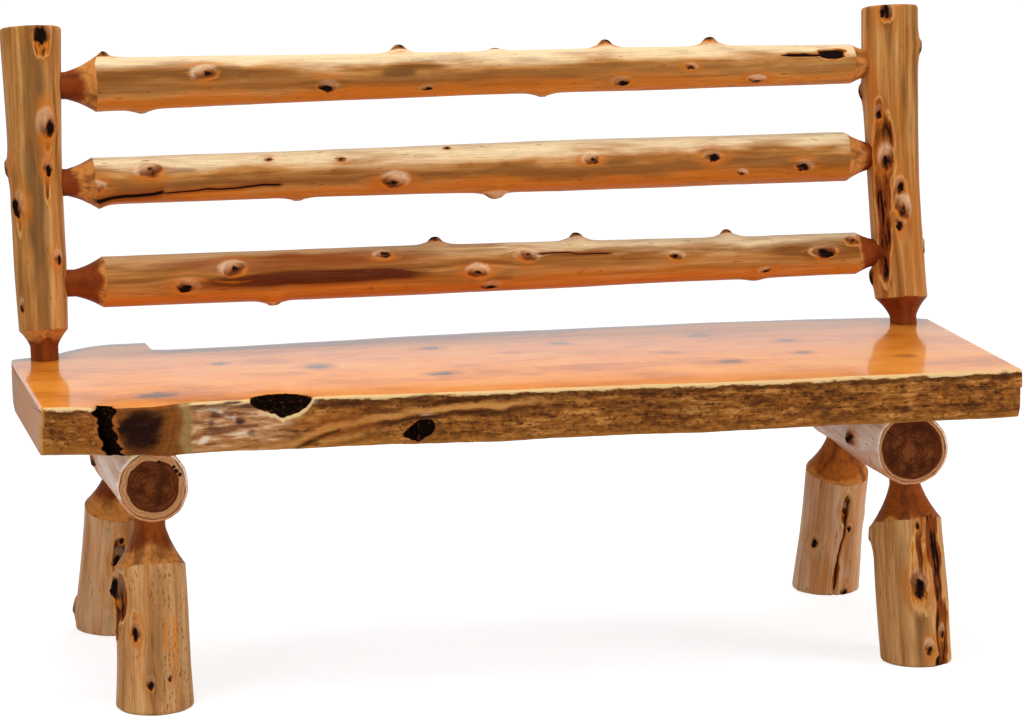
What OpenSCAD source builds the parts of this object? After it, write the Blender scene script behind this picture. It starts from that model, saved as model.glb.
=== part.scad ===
// Log bench with a back. A live-edge slab lies on two bolster logs, four splayed legs
// carry the bolsters, and two leaning posts carry three rails.
// Every joint is a turned, flared tenon in a drilled mortise, locked by a screw.
// The origin is on the ground, under the middle of the bench.
// +X runs along the seat, +Y to the back and +Z up. Left and right are as seen from the front.

/* [Seat slab] */
// Length of the slab
seat_length = 1524; // [1220:4:1830]
// Greatest depth of the slab, from its front line to its back line
seat_depth = 508; // [490:2:560]
// Thickness of the slab
seat_thickness = 78; // [66:1:90]
// Height of the sitting surface above the ground
seat_height = 460; // [430:1:500]
// How much further back the front edge stands at the left end than at the right
front_flare = 37; // [0:1:50]
// How far the back edge bows out towards the right of the middle
back_crown = 47; // [20:1:60]

/* [Backrest] */
// Height of the posts above the sitting surface, straight up
back_height = 513; // [480:1:600]
// Angle at which the posts lean back
back_lean = 11.3; // [6:0.1:14]
// Distance from each end of the slab to the post beside it
post_inset = 52; // [50:1:90]
// Distance from the slab's back line to the posts, at the sitting surface
post_back_inset = 79; // [78:1:108]
// Diameter of a post at mid-height
post_diameter = 88; // [80:1:96]
// Diameter of a rail at mid-length
rail_diameter = 76; // [66:1:84]
// Height of the bottom rail above the sitting surface
rail_bottom_height = 116; // [104:1:135]
// Height of the middle rail above the sitting surface
rail_middle_height = 272; // [250:1:300]
// Height of the top rail above the sitting surface
rail_top_height = 422; // [405:1:430]

/* [Underframe] */
// Distance from each end of the slab to the bolster log under it
bolster_inset = 165; // [150:1:240]
// Diameter of a bolster log
bolster_diameter = 115; // [106:1:122]
// Length of a bolster log, front to back
bolster_length = 404; // [390:1:430]
// Depth of the flat planed on a bolster where the slab lies on it
bolster_flat = 9; // [6:1:14]
// Diameter of a leg at mid-height
leg_diameter = 104; // [92:1:110]
// Angle at which the front legs splay forward
front_splay = 12.4; // [8:0.2:16]
// Angle at which the rear legs splay back
rear_splay = 18.4; // [12:0.2:20]
// Angle at which all legs splay to the sides
side_splay = 1; // [0:0.2:3]

/* [Joinery] */
// Diameter of the tenons on the rails
rail_tenon_d = 43; // [38:1:46]
// Diameter of the tenons on the posts
post_tenon_d = 44; // [38:1:46]
// Diameter of the tenons on the legs
leg_tenon_d = 48; // [42:1:52]
// Wood left under the tip of a post's tenon
post_floor = 22; // [20:1:28]
// Depth to which a leg's tenon enters its bolster
leg_tenon_depth = 62; // [54:1:66]
// Distance between a rail tenon's tip and the middle of the post
rail_tenon_stop = 6; // [4:1:10]
// Gap all round a tenon in its mortise, for the glue
glue_gap = 0.2; // [0.1:0.05:0.3]
// Room left past the tip of a tenon
tip_room = 2; // [1:0.5:4]

/* [Fasteners] */
// Shank diameter of the lag screws
lag_d = 9.5; // [8:0.5:11]
// Width across the flats of a lag screw's head
lag_head_width = 14.3; // [13:0.1:16]
// Length of the lag screws that hold the slab to the bolsters
bolster_lag_length = 115; // [108:1:122]
// Length of the lag screws that hold the posts in the slab
post_lag_length = 70; // [60:1:80]
// Shank diameter of the countersunk wood screws that lock the tenons
screw_d = 5; // [4:0.5:6]
// Length of the wood screws that lock the rails
rail_screw_length = 62; // [55:1:64]
// Length of the wood screws that lock the legs
leg_screw_length = 74; // [66:1:78]

/* [Hidden] */
$fn = 48;

LEFT = -1;
RIGHT = 1;
FRONT = -1;
REAR = 1;
RAILS = ["top", "middle", "bottom"];

// Natural shape that all the logs share
log_sides = 22;
log_oval = 0.02;
log_flute = 0.012;
log_swell = 1.1;
end_ease = 6;
knot_swell = 0.9;
knot_swell_length = 30;
knot_swell_angle = 32;
stub_root = 9;
stub_proud = 0.3;

// Stack of heights under the sitting surface
slab_under = seat_height - seat_thickness;
bolster_r = bolster_diameter / 2;
bolster_axis_z = slab_under - bolster_r + bolster_flat;
bolster_bottom = bolster_axis_z - bolster_r;

// Places along X
post_x = seat_length / 2 - post_inset;
bolster_x = seat_length / 2 - bolster_inset;
rail_tip_x = post_x - rail_tenon_stop;

// Places along Y, from the front line of the slab
bolster_setback = 40;
front_leg_inset = 50;
rear_leg_inset = 55;
post_line = seat_depth - post_back_inset;

// The origin is midway between the front toes and the post tops
post_top_reach = post_line + back_height * tan(back_lean) + post_diameter / 2;
toe_reach = bolster_axis_z * tan(front_splay) + leg_diameter / 2 - bolster_setback - front_leg_inset;
front_line = (toe_reach - post_top_reach) / 2;
bolster_front = front_line + bolster_setback;
post_y = front_line + post_line;

// Posts, along their own axis from the sitting surface
post_r = post_diameter / 2;
post_taper = 3;
post_top = back_height / cos(back_lean);
post_tenon_depth = (seat_thickness - post_floor) / cos(back_lean);
post_cone = 27;
post_foot_slimming = 4;

// Rails and legs
rail_r = rail_diameter / 2;
rail_span = 2 * post_x - post_diameter;
rail_cone = 40;
leg_r = leg_diameter / 2;
leg_cone = 56;

// Flare of a turned end: share of its rise that is straight, and the steps it is drawn in
flare_straight = 0.55;
flare_steps = 4;
tip_chamfer = 1.5;
cut_wide = 1.5;

// Fasteners
lag_r = lag_d / 2;
lag_head_h = 6.4;
lag_head_r = lag_head_width / 2 / cos(30);
washer_r = lag_head_width * 0.9;
washer_t = 2;
counterbore_r = washer_r + 1;
bolster_counterbore = 28;
post_counterbore = 12;
bolster_lag_y = [135, 270];
hole_gap = 0.1;
screw_head_r = screw_d;
screw_head_h = screw_d * 0.6;
screw_sink = 4;
leg_screw_rise = 32;
through = 1;

// Each log's own character: extra radius at its start and at its end, and the turn of its grain.
// Rails start at the left, posts and legs at the foot, bolsters at the front.
function rail_character(which) =
    which == "top" ? [4, -7, 1] : which == "middle" ? [0.5, 4, 2] : [4, -3, 3];
function post_character(side) = side == LEFT ? [-4, 0.5, 4] : [1.5, 0, 5];
function bolster_character(side) = side == LEFT ? [-1.5, 0, 10] : [3, 3, 11];
function leg_character(side, end) =
    end == FRONT
        ? (side == LEFT ? [7, -2, 6] : [4, 2, 7])
        : (side == LEFT ? [4, 0, 8] : [3, -2, 9]);

// How far each turned end is bare before it flares
function rail_necks(which) =
    which == "top" ? [6, 0] : which == "middle" ? [3, 2] : [9, 2];
function post_neck(side) = side == LEFT ? 21 : 12;
function leg_neck(side, end) = end == FRONT && side == LEFT ? 13 : 5;

// How far a log bends away from its straight axis at mid-length.
// A rail bends up and to the front, a post to the front and to the right.
function rail_bend(which) = which == "top" ? [2, 0] : which == "middle" ? [1, -2] : [0, 2];
function post_bend(side) = side == LEFT ? [0, -1] : [1, -7];

// Branch knots: share of the log's bare length, angle, stub radius and height.
// A stub radius of 0 makes a swelling without a stub.
// The angle turns from the top to the front on a rail, from the top to the right on a bolster,
// and from the front to the right on a post or leg.
function rail_knots(which) =
    which == "top" ? [
        [0.05, 8, 8, 5], [0.178, 77, 12, 3], [0.318, 122, 10, 4], [0.41, 3, 10, 9],
        [0.53, 355, 8, 4], [0.667, 2, 8, 9], [0.682, 116, 11, 4], [0.80, 0, 10, 8],
        [0.855, 112, 10, 4], [0.095, 178, 6, 3], [0.585, 176, 6, 3], [0.5, 250, 11, 4],
    ]
    : which == "middle" ? [
        [0.035, 165, 0, 9], [0.102, 74, 13, 4], [0.278, 178, 8, 4], [0.39, 115, 13, 4],
        [0.52, 176, 14, 8], [0.633, 86, 9, 4], [0.785, 84, 9, 4], [0.902, 108, 9, 4],
        [0.30, 262, 10, 4], [0.73, 285, 9, 4],
    ]
    : [
        [0.135, 108, 11, 4], [0.193, 74, 12, 4], [0.243, 176, 9, 7], [0.444, 2, 10, 8],
        [0.496, 128, 11, 4], [0.545, 64, 10, 4], [0.62, 358, 10, 9], [0.81, 2, 8, 8],
        [0.843, 160, 8, 6], [0.92, 84, 11, 4], [0.40, 240, 10, 4],
    ];
function post_knots(side) =
    side == LEFT
        ? [[0.69, 19, 14, 5], [0.46, -50, 12, 5], [0.58, -97, 11, 4], [0.3, 34, 8, 3], [0.8, 165, 12, 4]]
        : [[0.52, -32, 14, 4], [0.36, -2, 13, 5], [0.87, 65, 10, 5], [0.735, -100, 9, 4], [0.15, -98, 12, 5]];
function leg_knots(side, end) =
    end == FRONT
        ? (side == LEFT ? [[0.62, -78, 16, 6], [0.39, -28, 8, 3]] : [[0.42, -6, 12, 4], [0.68, -105, 10, 5]])
        : (side == LEFT ? [[0.12, -97, 12, 5], [0.45, 40, 9, 3]] : [[0.3, -42, 9, 3], [0.5, 100, 10, 4]]);
function bolster_knots(side) =
    side == LEFT ? [[0.35, 95, 13, 5], [0.6, 262, 12, 4]] : [[0.3, 265, 13, 5], [0.62, 100, 12, 4]];

function mix(a, b, t) = a + (b - a) * t;
function clamp(x, low, high) = max(low, min(high, x));
function bump(x, width) = exp(-pow(x / width, 2));
function total(values) = values * [for (v = values) 1];
function turn_between(a, b) = (a - b + 900) % 360 - 180;

// ---- Natural logs ----

// Swelling of the surface round the knots, at share t and angle a of a log
function swelling(t, a, span, knots) =
    total([
        for (k = knots)
            knot_swell * k[3]
                * bump((t - k[0]) * span, knot_swell_length)
                * bump(turn_between(a, k[1]), knot_swell_angle)
    ]);

// Radius of a log at share t and angle a: taper, oval, flutes, slow swells and knots
function log_radius(t, a, r, character, span, knots) =
    let (grain = character[2])
    mix(r + character[0], r + character[1], t)
        * (1 + log_oval * cos(2 * a + 75 * grain) + log_flute * cos(3 * a + 137 * grain + 150 * t))
    + log_swell * sin(430 * t + 90 * grain)
    + swelling(t, a, span, knots);

// One ring of surface points, shrunk by the easing of a sawn end
function log_ring(t, r, character, span, knots, easing) = [
    for (i = [0:log_sides - 1])
        let (a = 360 * i / log_sides, rad = easing * log_radius(t, a, r, character, span, knots))
        [rad * cos(a), rad * sin(a)]
];

// Share of the full radius at a distance from a sawn, eased end
function eased(distance) =
    let (u = clamp(1 - distance / end_ease, 0, 1)) 1 - 0.075 * (1 - sqrt(1 - u * u));

// Heights of the rings between low and high, closer together at an eased end
ease_shares = [0, 0.3, 1];
function ring_heights(low, high, stations, ease_low, ease_high) = [
    each ease_low ? [for (e = ease_shares) low + e * end_ease] : [low],
    for (i = [1:stations - 1]) mix(low, high, i / stations),
    each ease_high ? [for (i = [2:-1:0]) high - ease_shares[i] * end_ease] : [high],
];

// Closed skin through rings of points, the first ring at the bottom
module lofted(rings) {
    n = len(rings[0]);
    last = len(rings) - 1;
    polyhedron(
        points = [for (ring = rings) each ring],
        faces = [
            [for (i = [0:n - 1]) i],
            [for (i = [n - 1:-1:0]) last * n + i],
            for (j = [0:last - 1], i = [0:n - 1])
                let (a = j * n + i, b = j * n + (i + 1) % n)
                each [[a, a + n, b], [b, a + n, b + n]],
        ],
        convexity = 6
    );
}

// Log along +Z, where share 0 of its bare length is at start and share 1 at stop
module natural_log(low, high, start, stop, stations, r, character, knots,
                   bend = [0, 0], ease_low = false, ease_high = false) {
    span = stop - start;
    lofted([
        for (z = ring_heights(low, high, stations, ease_low, ease_high))
            let (
                t = (z - start) / span,
                easing = (ease_low ? eased(z - low) : 1) * (ease_high ? eased(high - z) : 1),
                middle = bend * sin(180 * clamp(t, 0, 1))
            )
            [for (p = log_ring(t, r, character, span, knots, easing)) [each p + middle, z]]
    ]);
    for (k = knots)
        if (k[2] > 0)
            translate([each bend * sin(180 * k[0]), mix(start, stop, k[0])])
                rotate([0, 0, k[1]])
                    branch_stub(mix(r + character[0], r + character[1], k[0]), k);
}

// Stub of a branch cut short at a knot, standing out of a log of radius bare_r along +X
module branch_stub(bare_r, knot) {
    stub_r = knot[2];
    log_r = bare_r + knot_swell * knot[3];
    tip = log_r + stub_proud * knot[3];
    rotate([0, 90, 0])
        rotate_extrude()
            polygon([
                [0, log_r - 2 * stub_root],
                [stub_r * 1.2, log_r - 2 * stub_root],
                [stub_r * 1.9, log_r - stub_root],
                [stub_r * 1.25, log_r - 1],
                [stub_r * 0.85, tip],
                [0, tip],
            ]);
}

// Outline of a turned end from its tip up: tenon of radius r, then a flare that meets log_r
function turned_end(tip, neck, cone, r, log_r) = [
    [0, tip],
    [r - tip_chamfer, tip],
    [r, tip + tip_chamfer],
    [r, neck],
    for (i = [1:flare_steps * cut_wide])
        let (u = i / flare_steps)
        [r + (log_r - r) * (flare_straight * u + (1 - flare_straight) * u * u), neck + cone * u],
];

// Solid of revolution between the outline of the low end and that of the high end,
// where the high outline is measured down from the top. It starts half a side of the log round.
module turned_blank(low_end, high_end, top) {
    rotate([0, 0, 180 / log_sides])
        rotate_extrude()
            polygon(concat(
                low_end,
                [for (i = [len(high_end) - 1:-1:0]) [high_end[i][0], top - high_end[i][1]]]
            ));
}

// ---- Seat slab ----

// Natural features of the slab, by their place along it
branch_x = -0.41 * seat_length;
branch_reach = 30;
branch_half = 62;
seam_x = branch_x - 0.03 * seat_length;
seam_half = 10;
seam_depth = 20;
hollow_x = -0.264 * seat_length;
hollow_half = 54;
hollow_r = 44;
knot_hole_x = -0.124 * seat_length;
knot_hole_half = 23;
knot_hole_r = 14;
crotch_start = -0.46 * seat_length;
crotch_end = -0.351 * seat_length;
crotch_reach = 76;
crotch_rise = 122;
corner_left = 20;
corner_right = 30;
slab_stations = 64;
slab_arris = 4;
edge_ripple = 2;

// Front and back edge of the slab's top at a place along it
function front_edge(x) =
    front_line
    + front_flare * (1 - clamp((x / seat_length + 0.36) / 0.6, 0, 1))
    - min(branch_reach, 1.15 * branch_reach * bump(x - branch_x, branch_half))
    + edge_ripple * (sin(x * 0.9) + 0.6 * sin(x * 2.3 + 60));
function crotch(x) =
    x < crotch_end
        ? crotch_reach * sin(90 * clamp((x - crotch_start) / crotch_rise, 0, 1))
        : 0.2 * crotch_reach * exp((crotch_end - x) / crotch_rise * 3);
function back_edge(x) =
    front_line + seat_depth
    - back_crown * min(1, pow((x / seat_length - 0.167) / 0.5, 2))
    - corner_left * pow(clamp((-0.45 * seat_length - x) / (0.05 * seat_length), 0, 1), 2)
    - corner_right * pow(clamp((x - 0.43 * seat_length) / (0.07 * seat_length), 0, 1), 2)
    + crotch(x)
    + edge_ripple * (sin(x * 0.8 + 120) + 0.5 * sin(x * 2.1));

// How far the underside stands back from the front edge: more at the left end
function front_wane(x) =
    3 + 2 * sin(x * 1.1)
    + 29 * clamp((-0.375 * seat_length - x) / 40, 0, 1)
    + 9 * clamp(x / seat_length / 0.3, 0, 1);

// Section of the slab at x: down the front edge, along the underside and up the back edge
function slab_section(x) =
    let (
        f = front_edge(x),
        b = back_edge(x),
        w = front_wane(x),
        bulge = 2.5 + 1.5 * sin(x * 1.7),
        level = function(share) slab_under + share * seat_thickness
    )
    [
        [x, f + slab_arris, seat_height],
        [x, f, seat_height - slab_arris],
        [x, f - bulge * 0.7, level(0.75)],
        [x, f - bulge + w * 0.05, level(0.5)],
        [x, f + w * 0.2, level(0.26)],
        [x, f + w * 0.6, level(0.09)],
        [x, f + w, slab_under],
        [x, b - 36, slab_under],
        [x, b - 14, level(0.12)],
        [x, b - 3, level(0.4)],
        [x, b + bulge * 0.5, level(0.75)],
        [x, b, seat_height - slab_arris],
        [x, b - slab_arris, seat_height],
    ];

// Stations stand closer together at the left, where the slab is more uneven
function slab_station(i) =
    let (u = i / slab_stations) mix(-seat_length / 2, seat_length / 2, u * (0.5 + 0.5 * u));

// Round-bottomed hollow along X, such as a rotted pocket or a knot hole
module pocket(half_length, r) {
    steps = 7;
    rotate([0, 90, 0])
        rotate_extrude()
            polygon([
                for (i = [0:steps])
                    let (a = -90 + 180 * i / steps)
                    [i == 0 || i == steps ? 0 : r * cos(a), half_length * sin(a)]
            ]);
}

// V-shaped seam of bark that curves down the front, round the foot of the cut branch
module bark_seam() {
    steps = 5;
    foot_shift = 24;
    lofted([
        for (i = [0:steps])
            let (
                u = i / steps,
                x = seam_x + foot_shift * pow(1 - u, 2),
                y = front_edge(seam_x) + front_wane(seam_x) * (1 - u),
                z = mix(slab_under - through, seat_height + through, u)
            )
            [[x - seam_half, y - seam_depth, z], [x + seam_half, y - seam_depth, z], [x, y + seam_depth, z]]
    ]);
}

module seat_slab() {
    color("#d98a4a")
        difference() {
            lofted([for (i = [0:slab_stations]) slab_section(slab_station(i))]);
            translate([hollow_x, front_edge(hollow_x), seat_height + 0.43 * hollow_r])
                pocket(hollow_half, hollow_r);
            translate([knot_hole_x, front_edge(knot_hole_x), slab_under + 1.5 * knot_hole_r])
                pocket(knot_hole_half, knot_hole_r);
            bark_seam();
            for (side = [LEFT, RIGHT]) {
                post_mortise(side);
                post_lag_hole(side);
                for (y = bolster_lag_y)
                    lag_pilot(side, y);
            }
        }
}

// ---- Posts ----

// Frame of a post: on its axis at the sitting surface, +Z up the post and +X to the front
module at_post(side) {
    translate([side * post_x, post_y, seat_height])
        rotate([-back_lean, 0, 0])
            rotate([0, 0, -90])
                children();
}

// Height along the post's axis at which the washer of its lag screw bears on the slab
post_washer_seat = post_counterbore - seat_thickness / cos(back_lean);

module post_mortise(side) {
    reach = post_tenon_depth + tip_room;
    at_post(side)
        translate([0, 0, -reach])
            cylinder(h = reach + post_r, r = post_tenon_d / 2 + glue_gap);
}

// Clearance hole and counterbore under the slab, in line with the post
module post_lag_hole(side) {
    at_post(side) {
        translate([0, 0, post_washer_seat - through])
            cylinder(h = seat_thickness / 2, r = lag_r + glue_gap);
        translate([0, 0, post_washer_seat - seat_thickness])
            cylinder(h = seat_thickness, r = counterbore_r);
    }
}

module post_pilot(side) {
    at_post(side)
        translate([0, 0, post_washer_seat])
            cylinder(h = post_lag_length - washer_t + tip_room, r = lag_r + hole_gap);
}

// Radius of a post at a height above the sitting surface
function post_radius(h) = post_r + mix(-post_taper, post_taper, h / back_height);

module post(side) {
    character = post_character(side);
    taper = [character[0] - post_taper, character[1] + post_taper, character[2]];
    low_end = turned_end(0, post_tenon_depth + post_neck(side), post_cone, post_tenon_d / 2,
        post_r - post_foot_slimming);
    high_end = [[0, -through], [post_r * cut_wide, -through]];
    color("#e2b877")
        difference() {
            at_post(side)
                intersection() {
                    natural_log(-post_tenon_depth - through, post_top, 0, post_top, 17,
                        post_r, taper, post_knots(side), post_bend(side), false, true);
                    translate([0, 0, -post_tenon_depth])
                        turned_blank(low_end, high_end, post_top + post_tenon_depth);
                }
            for (which = RAILS) {
                rail_mortise(which, side);
                rail_screw_hole(which, side);
            }
            post_pilot(side);
        }
}

// ---- Rails ----

function rail_height(which) =
    which == "top" ? rail_top_height : which == "middle" ? rail_middle_height : rail_bottom_height;

// Frame of a rail: on its axis at mid-length, +Z to the right, +X up the post and +Y to the front
module at_rail(which) {
    h = rail_height(which);
    translate([0, post_y + h * tan(back_lean), seat_height + h])
        rotate([-back_lean, 0, 0])
            rotate([0, 90, 0])
                rotate([0, 0, 180])
                    children();
}

module rail_mortise(which, side) {
    at_rail(which)
        translate([0, 0, side == RIGHT ? rail_tip_x + tip_room - post_diameter : -rail_tip_x - tip_room])
            cylinder(h = post_diameter, r = rail_tenon_d / 2 + glue_gap);
}

module rail(which) {
    necks = rail_necks(which);
    bare = post_r - rail_tenon_stop;
    ends = [for (neck = necks) turned_end(0, bare + neck, rail_cone, rail_tenon_d / 2, rail_r)];
    color("#dfae6b")
        difference() {
            at_rail(which)
                intersection() {
                    natural_log(-rail_tip_x - through, rail_tip_x + through, -rail_span / 2, rail_span / 2,
                        40, rail_r, rail_character(which), rail_knots(which), rail_bend(which));
                    translate([0, 0, -rail_tip_x])
                        turned_blank(ends[0], ends[1], 2 * rail_tip_x);
                }
            for (side = [LEFT, RIGHT])
                rail_screw_hole(which, side);
        }
}

// Frame of the wood screw through the back of a post into a rail's tenon: +Z along the screw
module at_rail_screw(which, side) {
    h = rail_height(which);
    inward = (rail_tenon_stop + post_r) * 0.4;
    depth = sqrt(pow(post_radius(h), 2) - inward * inward) - screw_sink;
    translate([side * (post_x - inward), post_y + h * tan(back_lean), seat_height + h])
        rotate([-back_lean, 0, 0])
            translate([0, depth, 0])
                rotate([90, 0, 0])
                    children();
}

module rail_screw_hole(which, side) {
    at_rail_screw(which, side)
        screw_hole(rail_screw_length);
}

// ---- Bolsters ----

// Frame of a bolster: on its axis at the front end, +Z to the back, +X up and +Y to the right
module at_bolster(side) {
    translate([side * bolster_x, bolster_front, bolster_axis_z])
        rotate([-90, 0, 0])
            rotate([0, 0, -90])
                children();
}

// Frame of a lag screw up through the bolster: at the top of its counterbore
module at_bolster_lag(side, y) {
    translate([side * bolster_x, bolster_front + y, bolster_bottom + bolster_counterbore])
        children();
}

module lag_pilot(side, y) {
    at_bolster_lag(side, y)
        cylinder(h = bolster_lag_length - washer_t + tip_room, r = lag_r + hole_gap);
}

module lag_counterbore(side, y) {
    at_bolster_lag(side, y) {
        translate([0, 0, -through])
            cylinder(h = bolster_diameter, r = lag_r + glue_gap);
        translate([0, 0, -bolster_diameter])
            cylinder(h = bolster_diameter, r = counterbore_r);
    }
}

module bolster(side) {
    color("#d9b27c")
        difference() {
            at_bolster(side)
                natural_log(0, bolster_length, 0, bolster_length, 10, bolster_r,
                    bolster_character(side), bolster_knots(side), [0, 0], true, true);
            translate([side * bolster_x - bolster_diameter, bolster_front - through, slab_under])
                cube([2 * bolster_diameter, bolster_length + 2 * through, bolster_diameter]);
            for (end = [FRONT, REAR]) {
                leg_mortise(side, end);
                leg_screw_hole(side, end);
            }
            for (y = bolster_lag_y)
                lag_counterbore(side, y);
        }
}

// ---- Legs ----

function splay(end) = end == FRONT ? front_splay : rear_splay;

// Middle of a leg's tenon along its bolster, from the bolster's nearer end
function leg_y(end) =
    end == FRONT ? bolster_front + front_leg_inset : bolster_front + bolster_length - rear_leg_inset;

// Middle of a leg at a height above the ground
function leg_place(side, end, z) = [
    side * (bolster_x + (bolster_axis_z - z) * tan(side_splay)),
    leg_y(end) + end * (bolster_axis_z - z) * tan(splay(end)),
    z,
];

// Frame of a leg: on its axis at the ground, +Z up the leg and +X to the front
module at_leg(side, end) {
    translate(leg_place(side, end, 0))
        rotate([end * splay(end), -side * side_splay, 0])
            rotate([0, 0, -90])
                children();
}

// Distance along a leg's axis from the ground up to a height
function leg_to(z, end) = z / cos(splay(end)) / cos(side_splay);
function leg_tip(end) = leg_to(bolster_bottom, end) + leg_tenon_depth;

module leg_mortise(side, end) {
    start = leg_to(bolster_bottom, end) - leg_tenon_d;
    at_leg(side, end)
        translate([0, 0, start])
            cylinder(h = leg_tip(end) + tip_room - start, r = leg_tenon_d / 2 + glue_gap);
}

// Log of a leg in level rings, so that its sawn foot lies flat with an eased edge
module leg_log(side, end) {
    character = leg_character(side, end);
    knots = leg_knots(side, end);
    top = leg_tip(end) + leg_r;
    lofted([
        for (z = ring_heights(0, top, 10, true, false))
            let (t = z / bolster_bottom, middle = leg_place(side, end, z))
            [
                for (p = log_ring(t, leg_r, character, bolster_bottom, knots, eased(z)))
                    middle + [p[1], -p[0] / cos(splay(end)), 0]
            ]
    ]);
    for (k = knots)
        at_leg(side, end)
            translate([0, 0, leg_to(k[0] * bolster_bottom, end)])
                rotate([0, 0, k[1]])
                    branch_stub(mix(leg_r + character[0], leg_r + character[1], k[0]), k);
}

module leg(side, end) {
    tip = leg_tip(end);
    below_ground = leg_r;
    neck = leg_tenon_depth + leg_neck(side, end);
    high_end = turned_end(0, neck, leg_cone, leg_tenon_d / 2, leg_r);
    low_end = [[0, -below_ground], [leg_r * cut_wide, -below_ground]];
    color("#e0b981")
        difference() {
            intersection() {
                leg_log(side, end);
                at_leg(side, end)
                    turned_blank(low_end, high_end, tip);
            }
            leg_screw_hole(side, end);
        }
}

// Frame of the wood screw through the inner side of a bolster into a leg's tenon: +Z along the screw
module at_leg_screw(side, end) {
    z = bolster_bottom + leg_screw_rise;
    reach = sqrt(pow(bolster_r, 2) - pow(bolster_axis_z - z, 2)) - screw_sink;
    translate([side * (bolster_x - reach), leg_place(side, end, z)[1], z])
        rotate([0, side * 90, 0])
            children();
}

module leg_screw_hole(side, end) {
    at_leg_screw(side, end)
        screw_hole(leg_screw_length);
}

// ---- Fasteners ----

// Countersunk wood screw along +Z, the face of its head at 0
module wood_screw(length) {
    rotate_extrude()
        polygon([
            [0, 0],
            [screw_head_r, 0],
            [screw_d / 2, screw_head_h],
            [screw_d / 2, length - screw_d],
            [0, length],
        ]);
}

// Hole that a wood screw fills, open behind its head
module screw_hole(length) {
    mouth = -bolster_r / 2;
    rotate_extrude()
        polygon([
            [0, mouth],
            [screw_head_r + hole_gap, mouth],
            [screw_head_r + hole_gap, 0],
            [screw_d / 2 + hole_gap, screw_head_h],
            [screw_d / 2 + hole_gap, length + hole_gap],
            [0, length + hole_gap],
        ]);
}

// Lag screw along +Z, the underside of its head at 0
module lag_screw(length) {
    translate([0, 0, -lag_head_h])
        cylinder(h = lag_head_h, r = lag_head_r, $fn = 6);
    rotate_extrude()
        polygon([[0, -through], [lag_r, -through], [lag_r, length - lag_d], [0, length]]);
}

module washer() {
    difference() {
        cylinder(h = washer_t, r = washer_r);
        translate([0, 0, -through])
            cylinder(h = washer_t + 2 * through, r = lag_r + glue_gap);
    }
}

module bolster_lag_screws() {
    color("silver")
        for (side = [LEFT, RIGHT], y = bolster_lag_y)
            at_bolster_lag(side, y)
                translate([0, 0, -washer_t])
                    lag_screw(bolster_lag_length);
}

module bolster_washers() {
    color("silver")
        for (side = [LEFT, RIGHT], y = bolster_lag_y)
            at_bolster_lag(side, y)
                translate([0, 0, -washer_t])
                    washer();
}

module post_lag_screws() {
    color("silver")
        for (side = [LEFT, RIGHT])
            at_post(side)
                translate([0, 0, post_washer_seat - washer_t])
                    lag_screw(post_lag_length);
}

module post_washers() {
    color("silver")
        for (side = [LEFT, RIGHT])
            at_post(side)
                translate([0, 0, post_washer_seat - washer_t])
                    washer();
}

module rail_screws() {
    color("silver")
        for (which = RAILS, side = [LEFT, RIGHT])
            at_rail_screw(which, side)
                wood_screw(rail_screw_length);
}

module leg_screws() {
    color("silver")
        for (side = [LEFT, RIGHT], end = [FRONT, REAR])
            at_leg_screw(side, end)
                wood_screw(leg_screw_length);
}

seat_slab();
bolster(LEFT);  // bolster_left
bolster(RIGHT);  // bolster_right
leg(LEFT, FRONT);  // leg_front_left
leg(RIGHT, FRONT);  // leg_front_right
leg(LEFT, REAR);  // leg_rear_left
leg(RIGHT, REAR);  // leg_rear_right
post(LEFT);  // post_left
post(RIGHT);  // post_right
rail("top");  // rail_top
rail("middle");  // rail_middle
rail("bottom");  // rail_bottom
bolster_lag_screws();
bolster_washers();
post_lag_screws();
post_washers();
rail_screws();
leg_screws();
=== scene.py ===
import math

import bmesh
import bpy
import numpy as np
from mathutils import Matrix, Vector


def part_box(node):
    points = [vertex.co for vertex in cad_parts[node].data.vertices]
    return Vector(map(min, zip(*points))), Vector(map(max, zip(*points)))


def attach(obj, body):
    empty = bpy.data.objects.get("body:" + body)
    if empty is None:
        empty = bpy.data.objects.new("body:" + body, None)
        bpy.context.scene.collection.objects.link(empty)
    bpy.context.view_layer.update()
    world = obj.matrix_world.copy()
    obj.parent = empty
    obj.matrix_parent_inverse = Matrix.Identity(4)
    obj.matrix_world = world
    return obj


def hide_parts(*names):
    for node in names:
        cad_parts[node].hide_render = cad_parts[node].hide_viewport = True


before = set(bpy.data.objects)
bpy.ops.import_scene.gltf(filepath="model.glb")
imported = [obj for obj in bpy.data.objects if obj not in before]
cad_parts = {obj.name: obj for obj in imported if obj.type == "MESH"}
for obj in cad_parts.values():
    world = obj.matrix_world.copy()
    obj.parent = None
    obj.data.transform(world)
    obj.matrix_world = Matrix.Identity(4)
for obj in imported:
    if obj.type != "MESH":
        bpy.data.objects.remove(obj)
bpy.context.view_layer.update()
print("cedar bench: the frame is in")


def newObject(name, data):  # an object of the scene
    item = bpy.data.objects.new(name, data)
    bpy.context.scene.collection.objects.link(item)
    return item


# The camera's place and aim

view = {  # place in metres, turns in degrees, lens and sensor in millimetres
    "place": (-1.4574, -6.3012, 1.6867), "right": 13.1, "down": 10.74, "lens": 146.7, "sensor": 36, "farClip": 60,
}


def setUpCamera():
    camera = newObject("camera", bpy.data.cameras.new("camera"))
    camera.data.lens = view["lens"]
    camera.data.sensor_width = view["sensor"]
    camera.data.clip_end = view["farClip"]
    camera.location = view["place"]
    camera.rotation_euler = (math.radians(90 - view["down"]), 0, math.radians(-view["right"]))
    bpy.context.scene.camera = camera


setUpCamera()

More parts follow.
